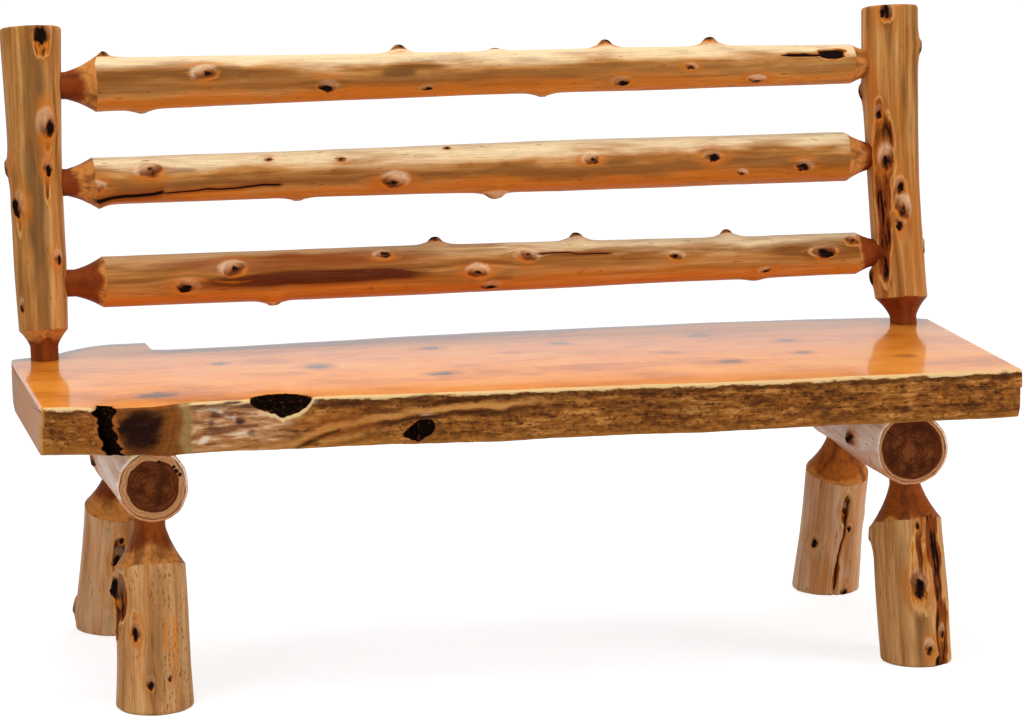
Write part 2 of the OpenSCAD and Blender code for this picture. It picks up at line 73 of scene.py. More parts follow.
# Sizes that several pieces share, in metres and degrees
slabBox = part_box("seat_slab")
bench = {
    "seatTop": slabBox[1].z, "slabUnder": slabBox[0].z, "length": slabBox[1].x - slabBox[0].x,
    "frontLine": -0.27009, "depth": 0.508,
    "postX": 0.710, "postY": 0.15891, "lean": 11.3, "postRadius": 0.044,
    "bolsterX": 0.597, "bolsterFront": -0.23009, "bolsterLength": 0.404, "bolsterRadius": 0.0575,
    "bolsterFlat": 0.009,  # how much of a bolster's top is planed away under the slab
    "legInsets": (0.050, 0.055), "legSplays": (12.4, 18.4), "sideSplay": 1.0,
    "oval": 0.02, "flute": 0.012, "swell": 0.0011,
}
bench["bolsterAxis"] = bench["slabUnder"] - bench["bolsterRadius"] + bench["bolsterFlat"]


# Numbers

def ease(low, high, x):  # 0 below low, 1 above high, smooth between
    u = np.clip((x - low) / (high - low), 0, 1)
    return u * u * (3 - 2 * u)


def bump(x, width):
    return np.exp(-(x / width) ** 2)


def turnBetween(a, b):
    return (a - b + 900) % 360 - 180


def softNoise(x, y, z, seed):  # smooth random field from -1 to 1, about one bump to a unit
    spots = np.broadcast_arrays(x, y, z)
    cells = [np.floor(s).astype(np.int64) for s in spots]
    parts = [s - c for s, c in zip(spots, cells)]
    parts = [p * p * (3 - 2 * p) for p in parts]
    total = np.zeros(spots[0].shape)
    for corner in range(8):
        steps = (corner & 1, corner >> 1 & 1, corner >> 2)
        mixed = sum((c + s) * k for c, s, k in zip(cells, steps, (73856093, 19349663, 83492791)))
        mixed = (mixed + seed * 1013904223) & 0xFFFFFFFF
        mixed = ((mixed ^ mixed >> 15) * 2246822519) & 0xFFFFFFFF
        mixed = ((mixed ^ mixed >> 13) * 3266489917) & 0xFFFFFFFF
        share = 1.0
        for p, s in zip(parts, steps):
            share = share * (p if s else 1 - p)
        total += share * ((mixed >> 8 & 0xFFFF) / 32767.5 - 1)
    return total


# Meshes

def loftMesh(name, rings):  # rings x columns x 3, each end closed by a fan
    rows, columns = rings.shape[:2]
    points = rings.reshape(-1, 3)
    a = (np.arange(rows - 1)[:, None] * columns + np.arange(columns)).ravel()
    b = (np.arange(rows - 1)[:, None] * columns + (np.arange(columns) + 1) % columns).ravel()
    faces = np.stack([a, b, b + columns, a + columns], 1).tolist()
    points = np.vstack([points, rings[0].mean(0), rings[-1].mean(0)])
    start, stop, last = len(points) - 2, len(points) - 1, (rows - 1) * columns
    faces += [[start, (j + 1) % columns, j] for j in range(columns)]
    faces += [[stop, last + j, last + (j + 1) % columns] for j in range(columns)]
    inward = np.einsum("ij,ij->i", np.cross(points[a], points[b]), points[b + columns]).sum() < 0
    mesh = bpy.data.meshes.new(name)
    mesh.from_pydata(points.tolist(), [], [face[::-1] for face in faces] if inward else faces)
    mesh.polygons.foreach_set("use_smooth", [True] * len(mesh.polygons))
    return mesh


def pointsOf(mesh):
    flat = np.empty(len(mesh.vertices) * 3, np.float32)
    mesh.vertices.foreach_get("co", flat)
    return flat.reshape(-1, 3).astype(float)


def giveValues(mesh, values):  # named vertex values that the finishes read
    for name, value in values.items():
        kind = "FLOAT_VECTOR" if value.ndim == 2 else "FLOAT"
        layer = mesh.attributes.new(name, kind, "POINT")
        layer.data.foreach_set("vector" if value.ndim == 2 else "value", value.astype(np.float32).ravel())


def addPiece(name, mesh, node, materials):
    piece = newObject(name, mesh)
    for material in materials:
        mesh.materials.append(material)
    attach(piece, "root")
    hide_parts(node)
    low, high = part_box(node)
    flat = pointsOf(mesh)
    off = max(abs(flat.min(0) - np.array(low)).max(), abs(flat.max(0) - np.array(high)).max())
    print(f"  {name}: {len(mesh.polygons)} faces, box off by {off * 1000:.1f} mm")
    return piece


# Finishes

def feed(tree, node, sockets):  # each socket takes a link from another node or a plain value
    for key, value in sockets.items():
        if isinstance(value, bpy.types.NodeSocket):
            tree.links.new(value, node.inputs[key])
        else:
            node.inputs[key].default_value = value


def addNode(tree, kind, sockets=None, **settings):
    node = tree.nodes.new(kind)
    for key, value in settings.items():
        setattr(node, key, value)
    feed(tree, node, sockets or {})
    return node


def mathNode(tree, operation, a, b=0.0, clamp=False):
    return addNode(tree, "ShaderNodeMath", {0: a, 1: b}, operation=operation, use_clamp=clamp).outputs[0]


def times(tree, a, b, clamp=False):
    return mathNode(tree, "MULTIPLY", a, b, clamp)


def plus(tree, a, b, clamp=False):
    return mathNode(tree, "ADD", a, b, clamp)


def vectorNode(tree, operation, *vectors):  # a length or a distance comes out as a number
    output = "Value" if operation in ("LENGTH", "DISTANCE") else "Vector"
    return addNode(tree, "ShaderNodeVectorMath", dict(enumerate(vectors)), operation=operation).outputs[output]


def reliefNode(tree, height, strength, distance):
    return addNode(tree, "ShaderNodeBump", {"Height": height, "Strength": strength, "Distance": distance}).outputs[0]


def span(tree, value, low, high, start=0.0, stop=1.0):  # smooth change from start to stop
    return addNode(tree, "ShaderNodeMapRange", {"Value": value, "From Min": low, "From Max": high,
                   "To Min": start, "To Max": stop}, interpolation_type="SMOOTHSTEP").outputs[0]


def blendColour(tree, share, a, b):  # from a at share 0 to b at share 1
    a, b = ((*colour, 1) if isinstance(colour, tuple) else colour for colour in (a, b))
    return addNode(tree, "ShaderNodeMix", {0: share, 6: a, 7: b}, data_type="RGBA").outputs[2]


def stepColour(tree, colour, other, value, *bounds):  # lays the other colour on as the value crosses a span
    return blendColour(tree, span(tree, value, *bounds), colour, other)


def rampColour(tree, value, stops):
    node = addNode(tree, "ShaderNodeValToRGB", {"Fac": value})
    marks = node.color_ramp.elements
    while len(marks) < len(stops):
        marks.new(0.5)
    for mark, (place, colour) in zip(marks, stops):
        mark.position, mark.color = place, (*colour, 1)
    return node.outputs[0]


def readValue(tree, name, output="Fac"):
    return addNode(tree, "ShaderNodeAttribute", attribute_name=name).outputs[output]


def grainNoise(tree, place, scale, detail=3.0, shift=0.0, rough=0.55):
    scaled = vectorNode(tree, "MULTIPLY_ADD", place, scale, (shift, shift, shift))
    return addNode(tree, "ShaderNodeTexNoise", {"Vector": scaled, "Scale": 1.0, "Detail": detail,
                   "Roughness": rough}).outputs[0]


def newFinish(name):
    material = bpy.data.materials.new(name)
    material.use_nodes = True
    tree = material.node_tree
    return material, tree, tree.nodes["Principled BSDF"]


peeled = {
    "dark": (0.19, 0.070, 0.015), "warm": (0.36, 0.145, 0.032), "pale": (0.52, 0.230, 0.060),
    "cream": (0.68, 0.360, 0.120), "orange": (0.50, 0.150, 0.018), "grey": (0.11, 0.052, 0.018),
    "red": (0.23, 0.050, 0.008), "black": (0.008, 0.004, 0.003), "sapwood": (0.56, 0.210, 0.048),
    "heartwood": (0.22, 0.042, 0.008), "heartDark": (0.09, 0.018, 0.005), "collar": (0.84, 0.58, 0.36),
    # the next line holds the cream of a painted top highlight and the orange of painted bounce light, which one leg
    # also uses for a flame
    "highlightCream": (0.92, 0.72, 0.44), "bounceAndFlameOrange": (0.64, 0.190, 0.020), "knotTan": (0.43, 0.175, 0.060),
    "knotBrown": (0.17, 0.048, 0.013), "scarRed": (0.20, 0.045, 0.010), "burnt": (0.088, 0.016, 0.004),
    "endHeart": (0.050, 0.011, 0.003), "endRing": (0.13, 0.032, 0.008), "endPale": (0.53, 0.250, 0.105),
    # the last colour on the next line is the pale pink of a painted highlight
    "endMiddle": (0.34, 0.095, 0.026), "paleHighlight": (0.88, 0.68, 0.57),
    "roughness": 0.44, "specular": 0.03, "coat": 0.07, "coatRoughness": 0.20,
    # noises of the grain: scale, detail and shift
    "grains": {"streak": ((52, 52, 2.4), 4, 0), "broad": ((10, 10, 2.6), 2, 7), "fibre": ((560, 560, 15), 2, 3),
               "cloud": ((38, 38, 7.5), 3, 11), "speck": ((190, 190, 34), 2, 19), "line": ((170, 170, 5), 3, 23)},
    "ringSpacing": 950.0, "ringWander": 20.0,
}


def skinColour(tree, log, place, noise):  # the peeled skin: streaks, pale painted highlights, a painted highlight on the top, painted orange bounce light on the low side, a painted shade belt, stains
    streak, cloud, shift = noise["streak"], noise["cloud"], log["shift"]
    tone = plus(tree, times(tree, streak, 0.50), times(tree, cloud, 0.25))
    tone = plus(tree, tone, times(tree, noise["line"], 0.25))
    tone = plus(tree, tone, log["paler"])
    colour = rampColour(tree, tone, [(0.38, peeled["dark"]), (0.46, peeled["warm"]),
                                     (0.53, peeled["pale"]), (0.63, peeled["cream"])])
    warmth = span(tree, noise["broad"], 0.62 - log["orange"] * 0.5, 0.78 - log["orange"] * 0.35, 0.0, 0.7)
    colour = blendColour(tree, warmth, colour, peeled["orange"])
    # pale streaks that are a painted highlight, strongest on the bolsters and the rear legs
    paleHighlightShare = log.get("paleHighlight", 0.0)
    colour = stepColour(tree, colour, peeled["paleHighlight"], streak, 0.35, 0.6, 0.4 * paleHighlightShare, paleHighlightShare)
    upward = plus(tree, readValue(tree, "upward"), span(tree, cloud, 0.3, 0.7, -0.22, 0.22))
    ragged = plus(tree, readValue(tree, "along"), span(tree, streak, 0.3, 0.7, -0.05, 0.05))
    begins = log.get("highlightFrom", -1.0)  # left of it the painted top highlight is weak and the wood is still brown
    # the upper side is lightened towards cream: a painted highlight
    topHighlight = span(tree, ragged, begins - 0.02, begins + 0.02, 0.25, log.get("topHighlight", 0.8))
    topHighlight = times(tree, topHighlight, span(tree, upward, 0.35, 0.95))
    colour = blendColour(tree, topHighlight, colour, peeled["highlightCream"])
    # the low side is warmed to orange: painted bounce light
    colour = stepColour(tree, colour, peeled["bounceAndFlameOrange"], upward, -0.75, 0.0, 0.75, 0.0)
    # a darker belt just above the low side, where the top light falls off: painted shade
    shadeBelt = times(tree, span(tree, upward, -0.45, 0.0), span(tree, upward, 0.05, 0.5, log.get("shadeBelt", 0.0), 0.0))
    colour = blendColour(tree, shadeBelt, colour, peeled["dark"])
    blush = times(tree, readValue(tree, "blush"), span(tree, streak, 0.3, 0.62, 0.5, 1.0), clamp=True)
    colour = blendColour(tree, blush, colour, peeled[log.get("blushColour", "red")])
    stain = plus(tree, span(tree, cloud, 0.60, 0.76, 0.0, 0.4), readValue(tree, "stain"))
    stain = times(tree, stain, span(tree, streak, 0.30, 0.58, 0.35, 1.0), clamp=True)
    colour = blendColour(tree, stain, colour, peeled[log.get("stainColour", "grey")])
    colour = stepColour(tree, colour, peeled["dark"], noise["fibre"], 0.35, 0.75, 0.0, 0.30)
    colour = stepColour(tree, colour, peeled["red"], noise["speck"], 0.66, 0.74, 0.0, 0.75)
    fleck = grainNoise(tree, place, (330, 330, 110), 2, shift + 37)
    fleck = times(tree, span(tree, fleck, 0.56, 0.66), span(tree, cloud, 0.42, 0.60, 0.0, log.get("flecks", 0.15)))
    return blendColour(tree, fleck, colour, peeled["knotBrown"])


def scarColour(tree, log, place, colour):  # red-brown bark in a groove with a pale lip, black where it is deepest
    scar = readValue(tree, "scar")
    bark = grainNoise(tree, place, (150, 150, 22), 3, log["shift"] + 41)
    edge = plus(tree, scar, span(tree, bark, 0.3, 0.7, -0.22, 0.12))
    edge = times(tree, edge, span(tree, scar, 0.0, 0.12))
    lip = times(tree, span(tree, edge, 0.0, 0.22), span(tree, edge, 0.26, 0.46, 0.75, 0.0))
    colour = blendColour(tree, lip, colour, peeled["cream"])
    fringe = times(tree, span(tree, edge, 0.24, 0.34), span(tree, bark, 0.40, 0.60, 0.3, 1.0))
    colour = blendColour(tree, fringe, colour, peeled["orange"])
    colour = stepColour(tree, colour, peeled["scarRed"], edge, 0.34, 0.52)
    char = log.get("char", 0.0)
    gap = times(tree, span(tree, edge, 0.60 - 0.1 * char, 0.80 - 0.15 * char),
                span(tree, bark, 0.44 - 0.2 * char, 0.56 - 0.2 * char))
    return blendColour(tree, gap, colour, peeled["black"]), edge, bark


def knotColour(tree, log, streak, colour):  # ovals along the grain: a pale collar and tan above, partly the knot's own colour and partly a painted highlight, and orange, brown and a dark pit below, partly painted shade
    spot = readValue(tree, "knotPlace", "Vector")
    lift = addNode(tree, "ShaderNodeSeparateXYZ", {0: spot}).outputs[1]
    ragged = grainNoise(tree, spot, (1.3, 1.3, 1), 2, log["shift"], 0.5)
    far = plus(tree, readValue(tree, "knotFar"), span(tree, ragged, 0.25, 0.75, -0.24, 0.24))
    tone = readValue(tree, "knotTone")
    streaks = times(tree, span(tree, far, 1.1, 3.2, 0.9, 0.0), span(tree, streak, 0.42, 0.60))
    colour = blendColour(tree, streaks, colour, peeled["orange"])
    plain = plus(tree, readValue(tree, "knotFar"), span(tree, ragged, 0.25, 0.75, -0.10, 0.10))
    # orange under the knot: painted shade
    lower = times(tree, span(tree, plain, 1.0, 1.6, 0.8, 0.0), span(tree, lift, -0.9, -0.1, 1.0, 0.0))
    colour = blendColour(tree, lower, colour, peeled["bounceAndFlameOrange"])
    # the pale collar shows only above the knot: partly its real collar, partly a painted highlight
    collar = times(tree, span(tree, plain, 1.0, 1.7, 0.9, 0.0), span(tree, lift, -0.5, 0.9))
    collar = times(tree, collar, span(tree, tone, 0.1, 0.6, 0.2, 0.8))
    colour = blendColour(tree, collar, colour, peeled["collar"])
    # inside the knot, tan above and brown below: its dark wood with painted shade on the lower side
    inKnot = times(tree, span(tree, far, 0.80, 1.25, 0.95, 0.0), span(tree, lift, -0.1, 0.7, 1.0, 0.45))
    nub = times(tree, span(tree, lift, -0.45, 0.35), span(tree, tone, 0.0, 0.6, 0.25, 1.0))
    nub = times(tree, nub, span(tree, far, 0.60, 1.00, 1.0, 0.0))
    colour = blendColour(tree, inKnot, colour, blendColour(tree, nub, peeled["knotBrown"], peeled["knotTan"]))
    # the black pit is pushed to the lower side: a dark core with painted shade
    pit = plus(tree, far, times(tree, lift, 0.5))
    pit = plus(tree, pit, times(tree, tone, 0.65))
    pit = times(tree, span(tree, pit, 0.45, 0.90, 1.0, 0.0), span(tree, far, 0.85, 1.10, 1.0, 0.0))
    return blendColour(tree, pit, colour, peeled["black"]), pit


def crackColour(tree, colour):  # a thin black line where the signed distance passes zero
    side = mathNode(tree, "ABSOLUTE", readValue(tree, "crackSide"))
    crack = times(tree, span(tree, side, 0.5, 1.1, 1.0, 0.0), readValue(tree, "crackNear"))
    rim = times(tree, span(tree, side, 0.9, 3.4, 0.8, 0.0), readValue(tree, "crackNear"))
    colour = blendColour(tree, rim, colour, peeled["red"])
    return blendColour(tree, crack, colour, peeled["black"]), crack


def turnedColour(tree, log, rings, streak):  # a turned neck: dark heartwood, and pale sapwood at its shoulder
    heart, edge = rings["heart"], log.get("heartShare", 0.80)
    core = blendColour(tree, log.get("warmHeart", 0.0), peeled["heartwood"], peeled["orange"])
    turned = blendColour(tree, span(tree, heart, edge, edge + 0.12), core, peeled["sapwood"])
    turned = stepColour(tree, turned, peeled["heartDark"], rings["ring"], 0.0, 1.0, 0.0, 0.22)
    return blendColour(tree, span(tree, streak, 0.46, 0.66, 0.0, 0.6), turned, peeled["heartDark"])


def sawnColour(tree, log, rings, place, cloud):  # rings, a darker line round the heart, checks that run outwards
    ring, heart, flat, wander, shift = (*(rings[key] for key in ("ring", "heart", "flat", "wander")), log["shift"])
    way = vectorNode(tree, "NORMALIZE", flat)
    ray = grainNoise(tree, way, (5.5, 5.5, 1), 2, shift + 51)
    fineRay = grainNoise(tree, way, (16, 16, 1), 2, shift + 57)
    sawn = blendColour(tree, span(tree, ring, -0.5, 1.0, 0.0, 0.65), peeled["endRing"], peeled["endHeart"])
    sawn = stepColour(tree, sawn, peeled["endHeart"], wander, 0.40, 0.62)
    even = plus(tree, readValue(tree, "heart"), span(tree, wander, 0.3, 0.7, -0.018, 0.018))
    middle = plus(tree, even, span(tree, cloud, 0.3, 0.7, -0.40, 0.40))
    middle = span(tree, middle, 0.10, 0.42, log.get("middle", 0.2), 0.0)
    sawn = blendColour(tree, middle, sawn, peeled["endMiddle"])
    outer = blendColour(tree, span(tree, ring, 0.2, 1.0, 0.0, 0.35), peeled["endPale"], peeled["endRing"])
    outer = stepColour(tree, outer, peeled["heartDark"], even, 0.945, 0.985, 0.0, 0.75)
    sapLine = log.get("endHeartShare", 0.76)
    line = span(tree, even, sapLine - 0.10, sapLine - 0.01, 0.0, 0.75)
    sawn = blendColour(tree, line, sawn, peeled["heartDark"])
    sawn = stepColour(tree, sawn, outer, even, sapLine, sapLine + 0.04)
    check = times(tree, span(tree, ray, 0.665, 0.69), span(tree, heart, 0.30, 0.42))
    check = times(tree, check, span(tree, heart, 0.84, 0.93, 1.0, 0.0))
    check = mathNode(tree, "MAXIMUM", check, times(tree, span(tree, fineRay, 0.62, 0.7, 0.0, 0.3), check))
    sawn = blendColour(tree, check, sawn, peeled["black"])
    for x, y, size in log.get("endSpots", []):
        away = vectorNode(tree, "DISTANCE", flat, (x, y, 0))
        away = plus(tree, away, span(tree, wander, 0.3, 0.7, -0.4 * size, 0.4 * size))
        sawn = stepColour(tree, sawn, peeled["black"], away, 0.6 * size, 1.1 * size, 1.0, 0.0)
    saw = grainNoise(tree, place, (30, 620, 30), 2, shift + 61)
    return blendColour(tree, span(tree, saw, 0.4, 0.7, 0.0, 0.22), sawn, peeled["endRing"])


def peeledCedar(name, log):
    material, tree, shader = newFinish(name)
    place = readValue(tree, "grain", "Vector")
    noise = {kind: grainNoise(tree, place, scale, detail, log["shift"] + shift)
             for kind, (scale, detail, shift) in peeled["grains"].items()}
    streak, fibre = noise["streak"], noise["fibre"]
    colour = skinColour(tree, log, place, noise)
    colour, scarEdge, bark = scarColour(tree, log, place, colour)
    colour, pit = knotColour(tree, log, streak, colour)
    colour, crack = crackColour(tree, colour)

    flat = vectorNode(tree, "MULTIPLY", place, (1, 1, 0))
    radius = vectorNode(tree, "LENGTH", flat)
    wander = grainNoise(tree, place, (48, 48, 10), 3, log["shift"] + 31)
    phase = plus(tree, times(tree, radius, peeled["ringSpacing"]), times(tree, wander, peeled["ringWander"]))
    ring = mathNode(tree, "SINE", phase)
    heart = plus(tree, readValue(tree, "heart"), span(tree, wander, 0.3, 0.7, -0.06, 0.06))
    rings = {"ring": ring, "heart": heart, "flat": flat, "wander": wander}
    turned = turnedColour(tree, log, rings, streak)
    sawn = sawnColour(tree, log, rings, place, noise["cloud"])
    wood = blendColour(tree, span(tree, readValue(tree, "endGrain"), 0.4, 0.6), turned, sawn)
    wood = blendColour(tree, crack, wood, peeled["black"])
    onSkin = span(tree, readValue(tree, "skin"), 0.35, 0.65)
    colour = blendColour(tree, onSkin, wood, colour)

    deep = mathNode(tree, "MAXIMUM", pit, mathNode(tree, "MAXIMUM", crack, span(tree, scarEdge, 0.2, 0.6)))
    rough = span(tree, streak, 0.3, 0.7, peeled["roughness"] + 0.06, peeled["roughness"] - 0.04)
    rough = plus(tree, rough, times(tree, deep, 0.45), clamp=True)
    high = plus(tree, times(tree, streak, 0.5), times(tree, fibre, 0.35))
    high = mathNode(tree, "SUBTRACT", high, times(tree, deep, 1.4))
    high = plus(tree, high, times(tree, times(tree, bark, deep), 2.0))
    relief = reliefNode(tree, high, 0.6, 0.0007)
    dull = mathNode(tree, "MAXIMUM", deep, span(tree, readValue(tree, "skin"), 0.35, 0.65, 0.75, 0.0))
    feed(tree, shader, {"Base Color": colour, "Roughness": rough, "Normal": relief,
                        "Specular IOR Level": peeled["specular"], "Coat Roughness": peeled["coatRoughness"],
                        "Coat Weight": span(tree, dull, 0.0, 1.0, peeled["coat"], 0.0)})
    return material


# Holes for screws and washers, measured from the fasteners in the frame

drill = {  # metres; sink is how far below the head a screw's hole starts
    "sides": 40, "screwRadius": 0.0051, "screwSink": 0.003, "screwReach": 0.030,
    "washerRadius": 0.01387, "bolsterReach": 0.060, "slabReach": 0.040,
}


def loosePieces(node):  # the separate pieces of a fastener node, as arrays of points in the frame
    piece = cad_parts[node]
    mesh = bmesh.new()
    mesh.from_mesh(piece.data)
    mesh.transform(piece.matrix_world)
    bmesh.ops.remove_doubles(mesh, verts=mesh.verts, dist=1e-6)
    found, seen = [], set()
    for first in mesh.verts:  # in the mesh's own order, so each run gives the same list
        if first in seen:
            continue
        seen.add(first)
        edge, group = [first], []
        while edge:
            vertex = edge.pop()
            group.append(vertex.co[:])
            for other in (link.other_vert(vertex) for link in vertex.link_edges):
                if other not in seen:
                    seen.add(other)
                    edge.append(other)
        found.append(np.array(group))
    mesh.free()
    return found


def screwHoles(node):  # from below the head outwards
    holes = []
    for points in loosePieces(node):
        middle = (points.min(0) + points.max(0)) / 2
        axis = np.linalg.svd(points - points.mean(0), full_matrices=False)[2][0]
        along = (points - middle) @ axis
        off = np.linalg.norm(points - middle - np.outer(along, axis), axis=1)
        if off[along > 0.8 * along.max()].max() < off[along < 0.8 * along.min()].max():
            axis, along = -axis, -along
        place = middle + axis * (along.max() - drill["screwSink"])
        holes.append((place, axis, drill["screwRadius"], drill["screwReach"]))
    return holes


def washerHoles(node, reach):  # from the seat of each washer down
    holes = []
    for points in loosePieces(node):
        middle = (points.min(0) + points.max(0)) / 2
        axis = np.linalg.svd(points - points.mean(0), full_matrices=False)[2][2]
        axis = axis if axis[2] < 0 else -axis
        place = middle - axis * np.abs((points - middle) @ axis).max()
        holes.append((place, axis, drill["washerRadius"], reach))
    return holes


def drilled(mesh, holes, index=0):  # all the holes of one piece as one cutter
    if not holes:
        return mesh
    rings, faces, sides = [], [], drill["sides"]
    turn = 2 * np.pi * np.arange(sides) / sides
    for place, axis, radius, reach in holes:
        first = sum(len(r) for r in rings)
        u = np.cross(axis, (0.3, 0.9, 0.1))
        u = u / np.linalg.norm(u)
        v = np.cross(axis, u)
        ring = radius * (np.outer(np.cos(turn), u) + np.outer(np.sin(turn), v))
        rings += [place + ring, place + axis * reach + ring]
        for j in range(sides):
            k = (j + 1) % sides
            faces.append((first + j, first + k, first + sides + k, first + sides + j))
        faces.append(tuple(first + j for j in range(sides))[::-1])
        faces.append(tuple(first + sides + j for j in range(sides)))
    tool = bpy.data.meshes.new("cutter")
    tool.from_pydata(np.concatenate(rings).tolist(), [], faces)
    for _ in range(index + 1):  # the cut faces take the finish with this index
        tool.materials.append(None)
    tool.polygons.foreach_set("material_index", [index] * len(faces))
    objects = [newObject(m.name, m) for m in (mesh, tool)]
    cut = objects[0].modifiers.new("holes", "BOOLEAN")
    cut.operation, cut.solver, cut.object = "DIFFERENCE", "EXACT", objects[1]
    shown = objects[0].evaluated_get(bpy.context.evaluated_depsgraph_get())
    result = bpy.data.meshes.new_from_object(shown)
    result.name = mesh.name + "Drilled"
    for item in objects:
        bpy.data.objects.remove(item)
    print(f"  {mesh.name}: {len(holes)} holes, {len(mesh.polygons)} -> {len(result.polygons)} faces")
    return result


allHoles = {node: [] for node in ("post_left", "post_right", "bolster_left", "bolster_right", "seat_slab")}
for found, names in (
        (screwHoles("rail_screws"), ("post_left", "post_right")),
        (screwHoles("leg_screws"), ("bolster_left", "bolster_right")),
        (washerHoles("bolster_washers", drill["bolsterReach"]), ("bolster_left", "bolster_right")),
        (washerHoles("post_washers", drill["slabReach"]), ("seat_slab", "seat_slab"))):
    for hole in found:
        allHoles[names[int(hole[0][0] > 0)]].append(hole)  # left or right of the middle
print("cedar bench: holes measured")


# Logs: each is drawn along its own axis, with angles in degrees round it

surface = {  # the relief that every log has, in metres
    "easing": 0.006, "easeShare": 0.075, "swellLength": 0.017, "swellTurn": 32,
    "knotWide": 0.9, "knotLong": 1.55, "crackDepth": 0.0025, "scarDepth": 0.0025, "scarLip": 0.0020,
    # flats of the drawknife and finer grain: bumps to a metre across and along, height
    "grain": ((75, 7, 0.00075), (210, 22, 0.00030), (520, 60, 0.00012)),
    "turnedStep": 0.0011, "rimSteps": (0.0, 0.0007, 0.0017, 0.003, 0.0046), "rimWidth": 0.0065,
    "sawnRings": (0.06, 0.14, 0.22, 0.30, 0.38, 0.46, 0.54, 0.62, 0.70, 0.78, 0.85, 0.91, 0.955, 0.985),
    "endDepth": 0.004, "skinDepth": 0.0006,
}


def frameOf(origin, up, front):  # rows: origin, then the directions of angle 0, of angle 90 and along the log
    return np.array([origin, up, front, np.cross(up, front)], float)


def leanFrame(side):
    lean = math.radians(bench["lean"])
    place = (side * bench["postX"], bench["postY"], bench["seatTop"])
    return frameOf(place, (0, -math.cos(lean), math.sin(lean)), (1, 0, 0))


def railFrame(height):
    lean = math.radians(bench["lean"])
    place = (0, bench["postY"] + height * math.tan(lean), bench["seatTop"] + height)
    return frameOf(place, (0, math.sin(lean), math.cos(lean)), (0, -math.cos(lean), math.sin(lean)))


def bolsterFrame(side):
    return frameOf((side * bench["bolsterX"], bench["bolsterFront"], bench["bolsterAxis"]), (0, 0, 1), (1, 0, 0))


def legFrame(side, end):  # end is -1 at the front and 1 at the back
    rear = end > 0
    insets, splay = bench["legInsets"], math.radians(bench["legSplays"][rear])
    lean, turn = end * splay, -side * math.radians(bench["sideSplay"])
    middle = bench["bolsterFront"] + (bench["bolsterLength"] - insets[1] if rear else insets[0])
    x = side * (bench["bolsterX"] + bench["bolsterAxis"] * math.tan(math.radians(bench["sideSplay"])))
    y = middle + end * bench["bolsterAxis"] * math.tan(splay)
    front = (-math.sin(lean) * math.sin(turn), -math.cos(lean), -math.sin(lean) * math.cos(turn))
    return frameOf((x, y, 0), front, (math.cos(turn), 0, -math.sin(turn)))


def toWorld(place, local):
    return place[0] + local @ place[1:]


def toLocal(place, world):
    return (world - place[0]) @ place[1:].T


def upwardOf(log, angle):  # how far the skin faces up, from -1 to 1
    turn = np.radians(angle)
    return log["place"][1, 2] * np.cos(turn) + log["place"][2, 2] * np.sin(turn)


def bareLength(log):
    return log.get("level") or log["stop"] - log["start"]


def roundSkin(log, angle, turn):  # distance round the log from one angle to another
    return np.radians(turnBetween(angle, turn)) * log["radius"]


def shareAlong(log, angle, z):  # share of the bare length, measured level on a leg
    if "level" in log:
        return (z * log["place"][3, 2] + log["radius"] * upwardOf(log, angle)) / log["level"]
    return (z - log["start"]) / (log["stop"] - log["start"])


def easedEnd(log, angle, z):  # sawn rims are rounded off over a few millimetres
    shrink = np.ones(np.broadcast(angle, z).shape)
    for end, distance in (("low", z - log["low"]), ("high", log["high"] - z)):
        if log[end + "End"] != "sawn":
            continue
        if end == "low" and "level" in log:
            distance = shareAlong(log, angle, z) * log["level"]
        u = np.clip(1 - distance / surface["easing"], 0, 1)
        shrink = shrink * (1 - surface["easeShare"] * (1 - np.sqrt(1 - u * u)))
    return shrink


def knotField(log, angle, z):  # place round the nearest knot in knot radii, its tone, and its height there
    shape = np.broadcast(angle, z).shape
    far, tone, high = np.full(shape, 9.0), np.zeros(shape), np.zeros(shape)
    spot = np.zeros((*shape, 3)) + (9, 0, 0)
    share, length = shareAlong(log, angle, z), bareLength(log)
    for place, turn, size, rise, shade in log["knots"]:
        across = roundSkin(log, angle, turn) / (size * surface["knotWide"])
        along = (share - place) * length / (size * surface["knotLong"])
        d = np.hypot(across, along)
        nearest = d < far
        # turns the knot so that the painted shade of the finish falls on the given side
        tilt = math.radians(log.get("darkSide", 0) + 35 * math.sin(place * 97 + turn))
        local = np.stack([across * math.cos(tilt) - along * math.sin(tilt),
                          across * math.sin(tilt) + along * math.cos(tilt), (place * 61 + turn) * np.ones(shape)], -1)
        spot = np.where(nearest[..., None], local, spot)
        tone = np.where(nearest, shade, tone)
        far = np.where(nearest, d, far)
        lumps = 1 + 0.15 * softNoise(local[..., 0] * 1.4, local[..., 1] * 1.4, place * 50, 17)
        nub = 1.2 * rise * (1 - ease(0.45, 1.05, d * lumps)) * (0.80 + 0.35 * np.clip(local[..., 1], -1, 1))
        pit = 1.5 * rise * (1 - ease(0.15, 0.70, d * lumps)) * (1 - ease(0.1, 0.45, shade))
        high += 0.45 * rise * bump(d, 1.9) + nub - pit - 0.0006 * bump(d - 1.10, 0.16)
    return far, spot, tone, high


def strips(log, name, angle, z):  # stains and blushes: [share, angle, half length, half width, strength]
    value = np.zeros(np.broadcast(angle, z).shape)
    share, length = shareAlong(log, angle, z), bareLength(log)
    for place, turn, half, width, strength in log.get(name, []):
        wander = 0.25 * width * softNoise(z * 25, place * 50, 0, 5)
        across = (roundSkin(log, angle, turn) + wander) / width
        along = (share - place) * length / half
        d = np.hypot(across, np.abs(along) ** 1.5)
        fall = np.clip((1.45 - d) / 0.9, 0, 1) if name == "scars" else 1 - ease(0.5, 1.15, d)
        value = np.maximum(value, strength * fall)
    return value


